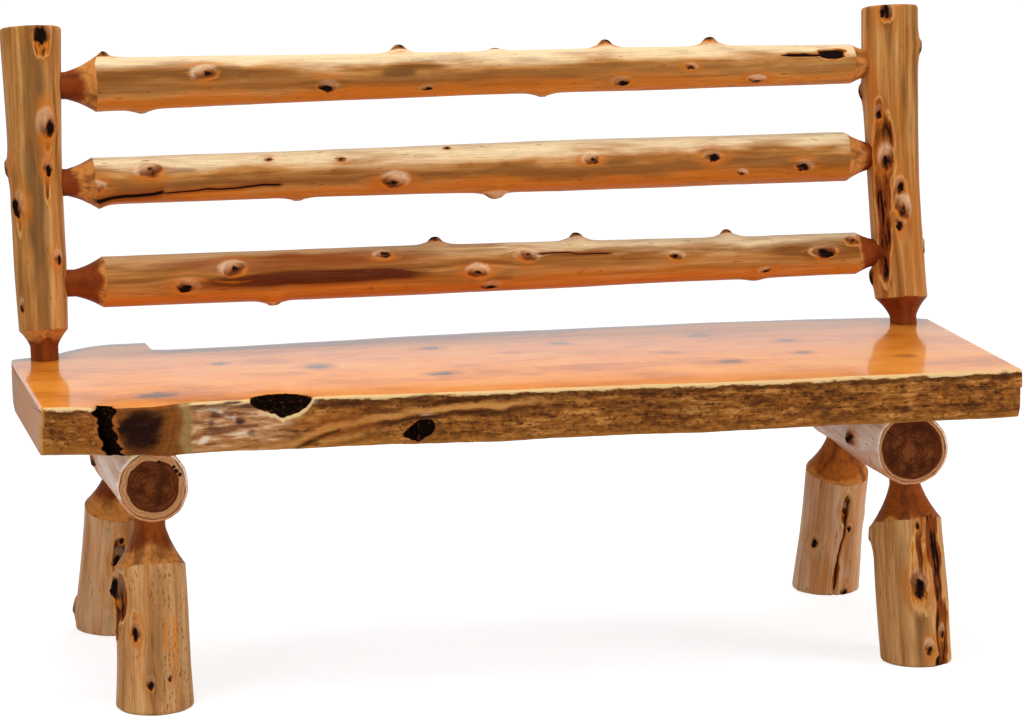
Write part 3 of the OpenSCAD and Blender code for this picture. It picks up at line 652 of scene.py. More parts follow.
def crackField(log, angle, z):  # signed distance to the nearest crack in millimetres, and where it shows
    side = np.full(np.broadcast(angle, z).shape, 9.0)
    near = np.zeros(side.shape)
    share, length = shareAlong(log, angle, z), bareLength(log)
    for start, stop, turnStart, turnStop, width in log.get("cracks", []):
        u = np.clip((share - start) / (stop - start), 0, 1)
        turn = turnStart + (turnStop - turnStart) * u + 3.5 * softNoise(z * 45, start * 77, 0, 9)
        across = roundSkin(log, angle, turn) / width
        ends = ease(0, 0.012 / length, share - start) * ease(0, 0.012 / length, stop - share)
        mask = ends * (1 - ease(4.0, 7.0, np.abs(across)))
        side = np.where(mask > near, across, side)
        near = np.maximum(near, mask)
    return side, near


def naturalRadius(log, angle, z, detailed=True):
    share = shareAlong(log, angle, z)
    turn, grain = np.radians(angle), log["turn"]
    first, last = log["radius"] + log["ends"][0], log["radius"] + log["ends"][1]
    radius = (first + (last - first) * share) * (
        1 + bench["oval"] * np.cos(2 * turn + math.radians(75 * grain))
        + bench["flute"] * np.cos(3 * turn + np.radians(137 * grain + 150 * share)))
    radius = radius + bench["swell"] * np.sin(np.radians(430 * share + 90 * grain))
    length = bareLength(log)
    for place, facing, rise in log["swellings"]:
        lump = bump((share - place) * length, surface["swellLength"])
        radius = radius + 0.9 * rise * lump * bump(turnBetween(angle, facing), surface["swellTurn"])
    if detailed:
        x, y = np.cos(turn) * log["radius"], np.sin(turn) * log["radius"]
        seed = int(grain * 10)
        for step, (across, along, height) in enumerate(surface["grain"]):
            radius = radius + height * softNoise(x * across, y * across, z * along, seed + step)
        radius = radius + knotField(log, angle, z)[3]
        side, near = crackField(log, angle, z)
        radius = radius - log.get("crackDepth", surface["crackDepth"]) * near * bump(side, 1.4)
        scar = strips(log, "scars", angle, z)
        torn = 1 + 0.35 * softNoise(x * 160, y * 160, z * 60, seed + 5)
        radius = radius - log.get("scarDepth", surface["scarDepth"]) * ease(0.2, 0.8, scar) * torn
        radius = radius + surface["scarLip"] * ease(0, 0.2, scar) * (1 - ease(0.2, 0.5, scar))
    radius = radius * easedEnd(log, angle, z)
    if "flat" in log:  # planed where the slab lies on it
        facing = np.cos(turn)
        radius = np.where(facing > 0.2, np.minimum(radius, log["flat"] / np.maximum(facing, 0.2)), radius)
    return radius


def flareRadius(tenon, s):  # radius of a turned end at a distance from its tip
    u = np.maximum((s - tenon["neck"]) / tenon["cone"], 0)
    marks = 0.00016 * softNoise(s * 520, tenon["neck"] * 900, 0, 3) + 0.00010 * np.sin(s * 2600)  # of the cutter
    marks = marks * ease(0, 0.004, s - tenon["hidden"])
    return tenon["radius"] + (tenon["wide"] - tenon["radius"]) * (0.55 * u + 0.45 * u * u) + marks


def shoulderOf(log, tenon, angle, tip, way):  # where the flare comes out through the skin
    u = np.ones(len(angle))
    for _ in range(12):
        skin = naturalRadius(log, angle, tip + way * (tenon["neck"] + tenon["cone"] * u))
        rise = np.maximum((skin - tenon["radius"]) / (tenon["wide"] - tenon["radius"]), 0)
        u = 0.5 * u + 0.5 * (-0.55 + np.sqrt(0.3025 + 1.8 * rise)) / 0.9
    return tenon["neck"] + tenon["cone"] * u


def turnedRows(log, tenon, angle, tip, way):  # rings from the tip to the shoulder
    shoulder = shoulderOf(log, tenon, angle, tip, way)
    ones = np.ones(len(angle))
    rows = [(tip * ones, f * tenon["radius"] * ones) for f in (0.5, 0.9)]
    hidden = np.linspace(0.0015, tenon["hidden"], 6)
    rows += [((tip + way * s) * ones, tenon["radius"] * ones) for s in hidden]
    shown = int(round((tenon["neck"] + tenon["cone"] - tenon["hidden"]) / surface["turnedStep"]))
    for i in range(1, shown + 1):
        s = tenon["hidden"] + (shoulder - tenon["hidden"]) * i / shown
        rows.append((tip + way * s, flareRadius(tenon, s)))
    return rows, tip + way * shoulder


def sawnRows(log, angle, low):  # rings of the sawn face, and the heights where its skin starts
    ones = np.ones(len(angle))
    edge = (log["low"] if low else log["high"]) * ones
    if low and "level" in log:  # level with the ground
        for _ in range(4):
            edge = -naturalRadius(log, angle, edge) * upwardOf(log, angle) / log["place"][3, 2]
    radius = naturalRadius(log, angle, edge)
    middle = 0 if low and "level" in log else edge
    return [(middle + (edge - middle) * f, radius * f) for f in surface["sawnRings"]], edge


def bentPoint(log, angle, z, radius):
    share = np.clip(shareAlong(log, angle, z), 0, 1)
    bend = log.get("bend", (0, 0))
    turn = np.radians(angle)
    x = radius * np.cos(turn) + bend[0] * np.sin(np.pi * share)
    y = radius * np.sin(turn) + bend[1] * np.sin(np.pi * share)
    return np.stack([x, y, z * np.ones(x.shape)], -1)


def unbent(log, local):
    angle = np.degrees(np.arctan2(local[:, 1], local[:, 0]))
    share = np.clip(shareAlong(log, angle, local[:, 2]), 0, 1)
    bend = log.get("bend", (0, 0))
    x = local[:, 0] - bend[0] * np.sin(np.pi * share)
    y = local[:, 1] - bend[1] * np.sin(np.pi * share)
    return x, y, local[:, 2]


def turnedEnd(kind, wide, neck, hidden):  # a tenon that flares out to the log's skin
    return {"radius": kind["tenon"], "cone": kind["cone"], "wide": wide, "neck": neck, "hidden": hidden}


def buildLog(name, log):
    angle = 360 * np.arange(log["columns"]) / log["columns"]
    ends = {}
    for end, way in (("low", 1), ("high", -1)):
        tenon = log[end + "End"]
        if tenon == "sawn":
            ends[end] = sawnRows(log, angle, end == "low")
        else:
            ends[end] = turnedRows(log, tenon, angle, log[end], way)
    start, stop = ends["low"][1], ends["high"][1]
    reach = (stop - start).mean()
    rim, count = surface["rimWidth"] / reach, int(reach / log["spacing"])
    shares = [step / reach for step in surface["rimSteps"]] + list(np.linspace(rim, 1 - rim, count))
    shares += [1 - step / reach for step in surface["rimSteps"][::-1]]  # closer rings where the rims are rounded
    skin = []
    for share in shares:
        z = start + (stop - start) * share
        skin.append((z, naturalRadius(log, angle, z)))
    rows = ends["low"][0] + skin + ends["high"][0][::-1]
    rings = np.stack([bentPoint(log, angle, z, radius) for z, radius in rows])
    mesh = drilled(loftMesh(name, toWorld(log["place"], rings)), allHoles.get(log["node"]))
    dressLog(log, mesh)
    return addPiece(name, mesh, log["node"], [peeledCedar(name + "Cedar", log)])


def dressLog(log, mesh):
    x, y, z = unbent(log, toLocal(log["place"], pointsOf(mesh)))
    angle, radius = np.degrees(np.arctan2(y, x)), np.hypot(x, y)
    skin = naturalRadius(log, angle, z)
    plain = naturalRadius(log, angle, z, False)
    far, spot, tone, _ = knotField(log, angle, z)
    side, near = crackField(log, angle, z)
    share, length = shareAlong(log, angle, z), bareLength(log)
    gx, gy = x.copy(), y.copy()
    for place, turn, size, _, _ in log["knots"]:  # the grain flows round each knot
        across = roundSkin(log, angle, turn)
        d = np.hypot(across / size, (share - place) * length / (size * 2.4))
        push = np.degrees(np.sign(across) * size * 0.75 * bump(d, 1.5) / log["radius"])
        gx, gy = (gx * np.cos(np.radians(push)) + gy * np.sin(np.radians(push)),
                  gy * np.cos(np.radians(push)) - gx * np.sin(np.radians(push)))
    under = skin - radius > surface["skinDepth"]
    endGrain = np.zeros(z.shape)
    if log["lowEnd"] == "sawn":
        low = share * length if "level" in log else z - log["low"]
        endGrain[under & (low < surface["endDepth"])] = 1
    if log["highEnd"] == "sawn":
        endGrain[under & (log["high"] - z < surface["endDepth"])] = 1
    giveValues(mesh, {
        "grain": np.stack([gx, gy, z], 1), "skin": np.clip(1 - (skin - radius) / surface["skinDepth"], 0, 1),
        "heart": radius / plain, "knotFar": far, "knotPlace": spot, "knotTone": tone,
        "crackSide": side, "crackNear": near, "along": share,
        "stain": strips(log, "stains", angle, z), "blush": strips(log, "blushes", angle, z),
        "scar": strips(log, "scars", angle, z), "endGrain": endGrain,
        "upward": upwardOf(log, angle),
    })


# Knots are share of the length, angle, radius, height and tone. Scars, stains and blushes are share, angle,
# half length, half width and strength. Cracks are start, stop, the angle at each and width. Swellings are share,
# angle and rise. Ends are added to the radius; turn and shift seed the shape and the grain.
# On the rails angle 0 is the top and 90 the front.
rails = {
    # the rails' knots are turned so that their painted shade lies below them
    "columns": 120, "spacing": 0.0030, "radius": 0.038, "tenon": 0.0215, "cone": 0.040, "darkSide": -90,
    "shortBy": 0.006, "sunk": 0.008,  # how far a tip stops short of the post's axis, how far the neck is sunk
    # each rail sets the strength of its painted shade belt and of its painted top highlight; the bottom rail also
    # sets where that highlight starts
    "railTop": {
        "node": "rail_top", "height": 0.422, "ends": (0.004, -0.007), "turn": 1, "bend": (0.002, 0),
        "necks": (0.006, 0),
        "swellings": [(0.05, 8, 0.005), (0.178, 77, 0.003), (0.318, 122, 0.004), (0.41, 3, 0.009),
                      (0.53, 355, 0.004), (0.667, 2, 0.009), (0.682, 116, 0.004), (0.80, 0, 0.010),
                      (0.855, 112, 0.004), (0.095, 178, 0.006), (0.585, 176, 0.006), (0.5, 250, 0.004)],
        "knots": [(0.05, 8, 0.008, 0.004, 0.6), (0.168, 76, 0.011, 0.0026, 0.75), (0.316, 116, 0.009, 0.0024, 0.2),
                  (0.41, 3, 0.009, 0.004, 0.6), (0.439, 131, 0.006, 0.0012, 0.2), (0.53, 355, 0.007, 0.0012, 0.4),
                  (0.667, 2, 0.008, 0.004, 0.6), (0.681, 127, 0.009, 0.0024, 0.05), (0.767, 91, 0.006, 0.0014, 0.3),
                  (0.80, 0, 0.009, 0.004, 0.5), (0.852, 131, 0.008, 0.0022, 0.55), (0.095, 176, 0.006, 0.001, 0.3),
                  (0.585, 176, 0.006, 0.001, 0.3), (0.5, 250, 0.010, 0.0022, 0.6), (0.24, 265, 0.008, 0.002, 0.2),
                  (0.74, 235, 0.009, 0.002, 0.7)],
        "stains": [(0.195, 68, 0.030, 0.007, 0.7), (0.215, 84, 0.012, 0.003, 0.8), (0.404, 86, 0.032, 0.009, 0.75),
                   (0.43, 72, 0.05, 0.004, 0.5), (0.925, 60, 0.05, 0.007, 0.7), (0.60, 110, 0.05, 0.004, 0.35)],
        "char": 0.8,
        "scars": [(0.949, 60, 0.024, 0.0105, 1), (0.912, 63, 0.040, 0.0048, 0.9)],
        "shift": 0.0, "orange": 0.15, "paler": 0.0, "heartShare": 0.64, "shadeBelt": 0.55,
    },
    "railMiddle": {
        "node": "rail_middle", "height": 0.272, "ends": (0.0005, 0.004), "turn": 2, "bend": (0.001, -0.002),
        "necks": (0.003, 0.002),
        "swellings": [(0.035, 165, 0.009), (0.102, 74, 0.004), (0.278, 178, 0.004), (0.39, 115, 0.004),
                      (0.52, 176, 0.008), (0.633, 86, 0.004), (0.785, 84, 0.004), (0.902, 108, 0.004),
                      (0.30, 262, 0.004), (0.73, 285, 0.004)],
        "knots": [(0.098, 71, 0.012, 0.0026, 0.65), (0.030, 107, 0.010, 0.0008, 0.55), (0.241, 50, 0.005, 0.001, 0.4),
                  (0.329, 56, 0.006, 0.001, 0.55), (0.392, 114, 0.012, 0.003, 0.7), (0.461, 34, 0.005, 0.001, 0.4),
                  (0.636, 82, 0.008, 0.002, 0.5), (0.788, 84, 0.008, 0.0022, 0.05), (0.826, 122, 0.005, 0.001, 0.5),
                  (0.904, 109, 0.008, 0.0022, 0.2), (0.278, 178, 0.007, 0.0015, 0.3), (0.52, 172, 0.012, 0.003, 0.6),
                  (0.30, 262, 0.009, 0.002, 0.3), (0.73, 285, 0.009, 0.002, 0.7), (0.50, 240, 0.007, 0.0015, 0.2)],
        "stains": [(0.128, 74, 0.04, 0.005, 0.6), (0.79, 72, 0.03, 0.004, 0.4), (0.66, 92, 0.05, 0.004, 0.3),
                   (0.43, 100, 0.06, 0.005, 0.25)],
        "blushes": [(0.030, 107, 0.012, 0.009, 0.8), (0.10, 150, 0.08, 0.01, 0.3)],
        "cracks": [(0.028, 0.120, 146, 126, 0.0048), (0.11, 0.26, 129, 116, 0.0020)], "crackDepth": 0.002,
        "shift": 20.0, "orange": 0.15, "paler": 0.0, "heartShare": 0.60, "shadeBelt": 0.75, "topHighlight": 1.0,
    },
    "railBottom": {
        "node": "rail_bottom", "height": 0.116, "ends": (0.004, -0.003), "turn": 3, "bend": (0, 0.002),
        "necks": (0.009, 0.002),
        "swellings": [(0.135, 108, 0.004), (0.193, 74, 0.004), (0.243, 176, 0.007), (0.444, 2, 0.008),
                      (0.496, 128, 0.004), (0.545, 64, 0.004), (0.62, 358, 0.009), (0.81, 2, 0.008),
                      (0.843, 160, 0.006), (0.92, 84, 0.004), (0.40, 240, 0.004)],
        "knots": [(0.135, 108, 0.010, 0.0024, 0.1), (0.192, 74, 0.011, 0.0028, 0.6), (0.375, 50, 0.008, 0.0014, 0.4),
                  (0.488, 100, 0.010, 0.0024, 0.65), (0.506, 140, 0.009, 0.0024, 0.2),
                  (0.552, 68, 0.010, 0.0022, 0.6), (0.738, 81, 0.007, 0.0016, 0.4),
                  (0.925, 84, 0.012, 0.002, 0.15), (0.966, 52, 0.009, 0.0022, 0.7),
                  (0.852, 130, 0.006, 0.0014, 0.3), (0.444, 2, 0.008, 0.004, 0.5), (0.62, 358, 0.008, 0.004, 0.5),
                  (0.81, 2, 0.007, 0.004, 0.5), (0.243, 176, 0.008, 0.002, 0.3), (0.40, 240, 0.009, 0.002, 0.5),
                  (0.70, 260, 0.008, 0.002, 0.2)],
        "blushes": [(0.27, 62, 0.24, 0.020, 1.0), (0.28, 108, 0.22, 0.011, 0.9), (0.20, 112, 0.10, 0.006, 1.0),
                    (0.62, 66, 0.06, 0.005, 0.9), (0.12, 58, 0.05, 0.006, 0.5), (0.92, 86, 0.03, 0.010, 0.7),
                    (0.70, 58, 0.05, 0.003, 0.6), (0.50, 82, 0.05, 0.004, 0.9)],
        "stainColour": "burnt",
        "stains": [(0.29, 100, 0.19, 0.0120, 2.0), (0.26, 92, 0.12, 0.004, 0.7), (0.40, 84, 0.08, 0.005, 0.7),
                   (0.62, 70, 0.05, 0.003, 0.6), (0.515, 120, 0.03, 0.004, 0.5)],
        "cracks": [(0.56, 0.66, 64, 66, 0.0012)], "crackDepth": 0.0012, "highlightFrom": 0.52,
        "scars": [(0.925, 84, 0.022, 0.0065, 0.7), (0.965, 55, 0.014, 0.0087, 0.8)],
        "shift": 40.0, "orange": 0.20, "paler": 0.0, "heartShare": 0.84, "topHighlight": 0.8, "shadeBelt": 0.25,
    },
}


def buildRails():
    reach = bench["postX"] - rails["shortBy"]
    bare = 2 * bench["postX"] - 2 * bench["postRadius"]
    inPost = bench["postRadius"] - rails["shortBy"]
    for name in ("railTop", "railMiddle", "railBottom"):
        log = dict(rails[name])
        log.update(columns=rails["columns"], spacing=rails["spacing"], radius=rails["radius"],
                   darkSide=rails["darkSide"], place=railFrame(log["height"]),
                   start=-bare / 2, stop=bare / 2, low=-reach, high=reach)
        for end, neck in zip(("lowEnd", "highEnd"), log["necks"]):
            log[end] = turnedEnd(rails, rails["radius"], inPost + neck, inPost - rails["sunk"])
        buildLog(name, log)


# On the posts and legs angle 0 is the front and 90 the right
posts = {
    "columns": 128, "spacing": 0.0026, "cone": 0.027, "tenon": 0.022, "taper": 0.003,
    "tenonDepth": 0.078 - 0.022, "topHeight": 0.513, "narrower": 0.004, "sunk": 0.004,  # heights measured upright
    "postLeft": {
        "node": "post_left", "side": -1, "ends": (-0.004, 0.0005), "turn": 4, "bend": (0, -0.001), "neck": 0.021,
        "swellings": [(0.69, 19, 0.005), (0.46, -50, 0.005), (0.58, -97, 0.004), (0.3, 34, 0.003), (0.8, 165, 0.004)],
        "knots": [(0.98, 14, 0.013, 0.001, 0.05), (0.70, 19, 0.013, 0.0032, 0.35), (0.573, 20, 0.008, 0.001, 0.1),
                  (0.58, -97, 0.010, 0.003, 0.2), (0.465, -50, 0.012, 0.0032, 0.15), (0.30, 34, 0.007, 0.001, 0.3),
                  (0.16, -60, 0.007, 0.001, 0.3), (0.8, 165, 0.011, 0.003, 0.6), (0.42, 150, 0.009, 0.002, 0.2),
                  (0.62, -165, 0.008, 0.002, 0.7)],
        "stains": [(0.66, 22, 0.05, 0.006, 0.7), (0.50, 5, 0.09, 0.012, 0.45), (0.40, 12, 0.10, 0.005, 0.5),
                   (0.62, -8, 0.25, 0.020, 0.85), (0.22, -2, 0.12, 0.014, 0.65),
                   (0.50, -62, 0.05, 0.008, 0.5), (0.86, 28, 0.06, 0.004, 0.4)],
        "scars": [(0.955, 15, 0.026, 0.0116, 0.75), (0.675, 20, 0.035, 0.0058, 0.6), (0.52, 17, 0.03, 0.0043, 0.6),
                  (0.43, -52, 0.03, 0.0058, 0.5)], "scarDepth": 0.0015,
        "blushes": [(0.96, 18, 0.02, 0.014, 0.5)], "shift": 60.0, "orange": 0.12, "paler": 0.015,
        "heartShare": 0.66,
    },
    "postRight": {
        "node": "post_right", "side": 1, "ends": (0.0015, 0), "turn": 5, "bend": (0.001, -0.007), "neck": 0.012,
        "swellings": [(0.52, -32, 0.004), (0.36, -2, 0.005), (0.87, 65, 0.005), (0.735, -100, 0.004),
                      (0.15, -98, 0.005)],
        "knots": [(0.985, -25, 0.010, 0.002, 0.2), (0.87, 65, 0.009, 0.0022, 0.15), (0.735, -100, 0.009, 0.003, 0.2),
                  (0.517, -32, 0.012, 0.0026, 0.45), (0.43, -5, 0.008, 0.0018, 0.15), (0.362, -2, 0.012, 0.003, 0.6),
                  (0.31, -10, 0.007, 0.0014, 0.1), (0.24, 70, 0.009, 0.002, 0.3), (0.15, -98, 0.011, 0.003, 0.15),
                  (0.66, -46, 0.007, 0.001, 0.05), (0.62, 150, 0.010, 0.0025, 0.6), (0.25, -170, 0.009, 0.002, 0.2)],
        "stains": [(0.93, -20, 0.05, 0.006, 0.6), (0.55, -22, 0.05, 0.010, 0.5), (0.40, 12, 0.08, 0.006, 0.45),
                   (0.20, -40, 0.05, 0.006, 0.5)],
        "blushes": [(0.57, -38, 0.08, 0.014, 0.8), (0.30, -55, 0.13, 0.014, 0.85), (0.37, 2, 0.045, 0.014, 0.6),
                    (0.955, -22, 0.02, 0.009, 0.7)],
        "scars": [(0.645, -44, 0.030, 0.0070, 0.9), (0.55, -36, 0.055, 0.0150, 1.0), (0.44, -42, 0.050, 0.0130, 1.0),
                  (0.33, -48, 0.060, 0.0120, 1.0), (0.22, -52, 0.050, 0.0100, 1.0), (0.385, -4, 0.034, 0.0110, 0.7),
                  (0.975, -22, 0.016, 0.0090, 0.8)],
        "scarDepth": 0.004, "shift": 80.0, "orange": 0.06, "paler": 0.0, "heartShare": 0.93,
    },
}


def buildPosts():
    lean = math.radians(bench["lean"])
    depth, top = posts["tenonDepth"] / math.cos(lean), posts["topHeight"] / math.cos(lean)
    for name in ("postLeft", "postRight"):
        log = dict(posts[name])
        first, last = log["ends"]
        log.update(columns=posts["columns"], spacing=posts["spacing"], radius=bench["postRadius"],
                   place=leanFrame(log["side"]), start=0.0, stop=top, low=-depth, high=top, highEnd="sawn",
                   ends=(first - posts["taper"], last + posts["taper"]))
        log["lowEnd"] = turnedEnd(posts, bench["postRadius"] - posts["narrower"], depth + log["neck"],
                                  depth - posts["sunk"])
        buildLog(name, log)


# On the bolsters angle 0 is the top and 90 the right; end spots are place upwards, place to the right and radius
bolsters = {
    "columns": 128, "spacing": 0.0032,
    # the bolsters take the pale painted highlight in full
    "bolsterLeft": {
        "node": "bolster_left", "side": -1, "ends": (-0.0015, 0), "turn": 10,
        "swellings": [(0.35, 95, 0.005), (0.6, 262, 0.004)],
        "knots": [(0.35, 95, 0.012, 0.003, 0.5), (0.6, 262, 0.011, 0.0025, 0.2), (0.25, 200, 0.009, 0.002, 0.6)],
        "endSpots": [(0.037, 0.010, 0.0042), (0.022, 0.036, 0.0036), (0.028, 0.032, 0.0028), (0.016, 0.041, 0.0030)],
        "shift": 100.0, "orange": 0.1, "paler": 0.10, "endHeartShare": 0.76, "paleHighlight": 1.0,
    },
    "bolsterRight": {
        "node": "bolster_right", "side": 1, "ends": (0.003, 0.003), "turn": 11,
        "swellings": [(0.3, 265, 0.005), (0.62, 100, 0.004)],
        "knots": [(0.3, 265, 0.012, 0.003, 0.4), (0.62, 100, 0.011, 0.0025, 0.2), (0.5, 190, 0.009, 0.002, 0.6)],
        "shift": 120.0, "orange": 0.1, "paler": 0.10, "endHeartShare": 0.88, "paleHighlight": 1.0, "middle": 0.3,
    },
}


def buildBolsters():
    for name in ("bolsterLeft", "bolsterRight"):
        log = dict(bolsters[name])
        length = bench["bolsterLength"]
        log.update(columns=bolsters["columns"], spacing=bolsters["spacing"], radius=bench["bolsterRadius"],
                   place=bolsterFrame(log["side"]), start=0.0, stop=length, low=0.0, high=length,
                   lowEnd="sawn", highEnd="sawn", flat=bench["slabUnder"] - bench["bolsterAxis"])
        buildLog(name, log)


legs = {
    "columns": 136, "spacing": 0.0026, "radius": 0.052, "tenon": 0.024, "cone": 0.056, "depth": 0.062, "sunk": 0.012,
    "legFrontLeft": {
        "node": "leg_front_left", "side": -1, "end": -1, "ends": (0.007, -0.002), "turn": 6, "neck": 0.013,
        "swellings": [(0.62, -78, 0.006), (0.39, -28, 0.003)],
        "knots": [(0.66, -74, 0.015, 0.004, 0.05), (0.44, -34, 0.008, 0.0016, 0.10), (0.165, -13, 0.006, 0.001, 0.10),
                  (0.19, 17, 0.004, 0.0008, 0.1), (0.5, 150, 0.010, 0.003, 0.5)],
        "stains": [(0.62, -70, 0.03, 0.012, 0.8), (0.45, 0, 0.07, 0.010, 0.45), (0.20, 0, 0.05, 0.010, 0.45),
                   (0.66, 5, 0.04, 0.010, 0.4)],
        "blushes": [(0.42, 12, 0.03, 0.005, 0.8), (0.30, -30, 0.04, 0.003, 0.5), (0.36, 30, 0.05, 0.006, 0.7)],
        "blushColour": "bounceAndFlameOrange",
        "scars": [(0.60, -64, 0.034, 0.0120, 1.0), (0.47, -36, 0.020, 0.0050, 0.6), (0.50, -78, 0.034, 0.0080, 0.9)],
        "scarDepth": 0.003, "shift": 140.0, "orange": 0.08, "flecks": 0.85,
        "warmHeart": 0.15, "paler": 0.045, "heartShare": 0.66, "paleHighlight": 0.08,
    },
    "legFrontRight": {
        "node": "leg_front_right", "side": 1, "end": -1, "ends": (0.004, 0.002), "turn": 7, "neck": 0.005,
        "swellings": [(0.42, -6, 0.004), (0.68, -105, 0.005)],
        "knots": [(0.455, -6, 0.013, 0.003, 0.12), (0.79, 0, 0.005, 0.001, 0.2), (0.18, 36, 0.007, 0.0012, 0.3),
                  (0.70, -104, 0.010, 0.003, 0.3), (0.11, 5, 0.007, 0.001, 0.4), (0.6, 140, 0.010, 0.002, 0.3)],
        "stains": [(0.03, 28, 0.012, 0.016, 0.9), (0.55, -30, 0.06, 0.006, 0.3), (0.17, -4, 0.055, 0.014, 0.55)],
        "blushes": [(0.62, 26, 0.07, 0.006, 0.9), (0.40, 28, 0.06, 0.008, 0.6), (0.14, 30, 0.04, 0.008, 0.8),
                    (0.455, -6, 0.024, 0.016, 0.7)],
        "scars": [(0.50, -6, 0.056, 0.0135, 0.46), (0.73, 27, 0.055, 0.0120, 1.0), (0.52, 31, 0.050, 0.0110, 1.0),
                  (0.20, 33, 0.050, 0.0130, 1.0), (0.80, 4, 0.030, 0.0060, 0.8), (0.63, -1, 0.038, 0.0050, 0.8),
                  (0.36, 4, 0.020, 0.0040, 0.5), (0.02, 26, 0.012, 0.0120, 0.9)],
        "scarDepth": 0.003, "shift": 160.0, "orange": 0.06, "paler": 0.02, "flecks": 0.3,
        "warmHeart": 0.2, "heartShare": 0.90, "paleHighlight": 0.06,
    },
    # the rear legs take more of the pale painted highlight than the front legs
    "legRearLeft": {
        "node": "leg_rear_left", "side": -1, "end": 1, "ends": (0.004, 0), "turn": 8, "neck": 0.005,
        "swellings": [(0.12, -97, 0.005), (0.45, 40, 0.003)],
        "knots": [(0.16, -95, 0.011, 0.003, 0.3), (0.50, -4, 0.010, 0.002, 0.05), (0.62, 0, 0.006, 0.001, 0.1),
                  (0.22, -2, 0.006, 0.001, 0.2), (0.45, 40, 0.009, 0.002, 0.3), (0.55, 170, 0.009, 0.002, 0.6)],
        "stains": [(0.5, 10, 0.09, 0.016, 0.5)], "scars": [(0.52, -4, 0.03, 0.0101, 0.9)],
        "shift": 180.0, "orange": 0.10, "paler": 0.09, "paleHighlight": 0.25, "heartShare": 0.62,
    },
    "legRearRight": {
        "node": "leg_rear_right", "side": 1, "end": 1, "ends": (0.003, -0.002), "turn": 9, "neck": 0.005,
        "swellings": [(0.3, -42, 0.003), (0.5, 100, 0.004)],
        "knots": [(0.355, -46, 0.007, 0.0016, 0.1), (0.57, 2, 0.006, 0.001, 0.2), (0.445, 15, 0.005, 0.001, 0.2),
                  (0.5, 100, 0.010, 0.003, 0.4), (0.03, 16, 0.007, 0.001, 0.1), (0.6, -150, 0.009, 0.002, 0.6)],
        "stains": [(0.25, 20, 0.06, 0.008, 0.35)], "blushes": [(0.4, 12, 0.10, 0.004, 0.4)],
        "cracks": [(0.02, 0.66, -4, 9, 0.0013)], "crackDepth": 0.003,
        "scars": [(0.57, 3, 0.03, 0.0058, 0.7), (0.1, -2, 0.035, 0.0051, 0.6)],
        "shift": 200.0, "orange": 0.10, "paler": 0.09, "warmHeart": 0.55, "paleHighlight": 0.35, "heartShare": 0.84,
    },
}


def buildLegs():
    for name in ("legFrontLeft", "legFrontRight", "legRearLeft", "legRearRight"):
        log = dict(legs[name])
        splay = math.radians(bench["legSplays"][log["end"] > 0])
        under = bench["bolsterAxis"] - bench["bolsterRadius"]
        tip = under / math.cos(splay) / math.cos(math.radians(bench["sideSplay"])) + legs["depth"]
        log.update(columns=legs["columns"], spacing=legs["spacing"], radius=legs["radius"], level=under,
                   place=legFrame(log["side"], log["end"]), start=0.0, stop=tip, low=0.0, high=tip, lowEnd="sawn")
        log["highEnd"] = turnedEnd(legs, legs["radius"], legs["depth"] + log["neck"], legs["depth"] - legs["sunk"])
        buildLog(name, log)


buildRails()
buildPosts()
buildBolsters()
buildLegs()
print("cedar bench: logs done")


# The slab

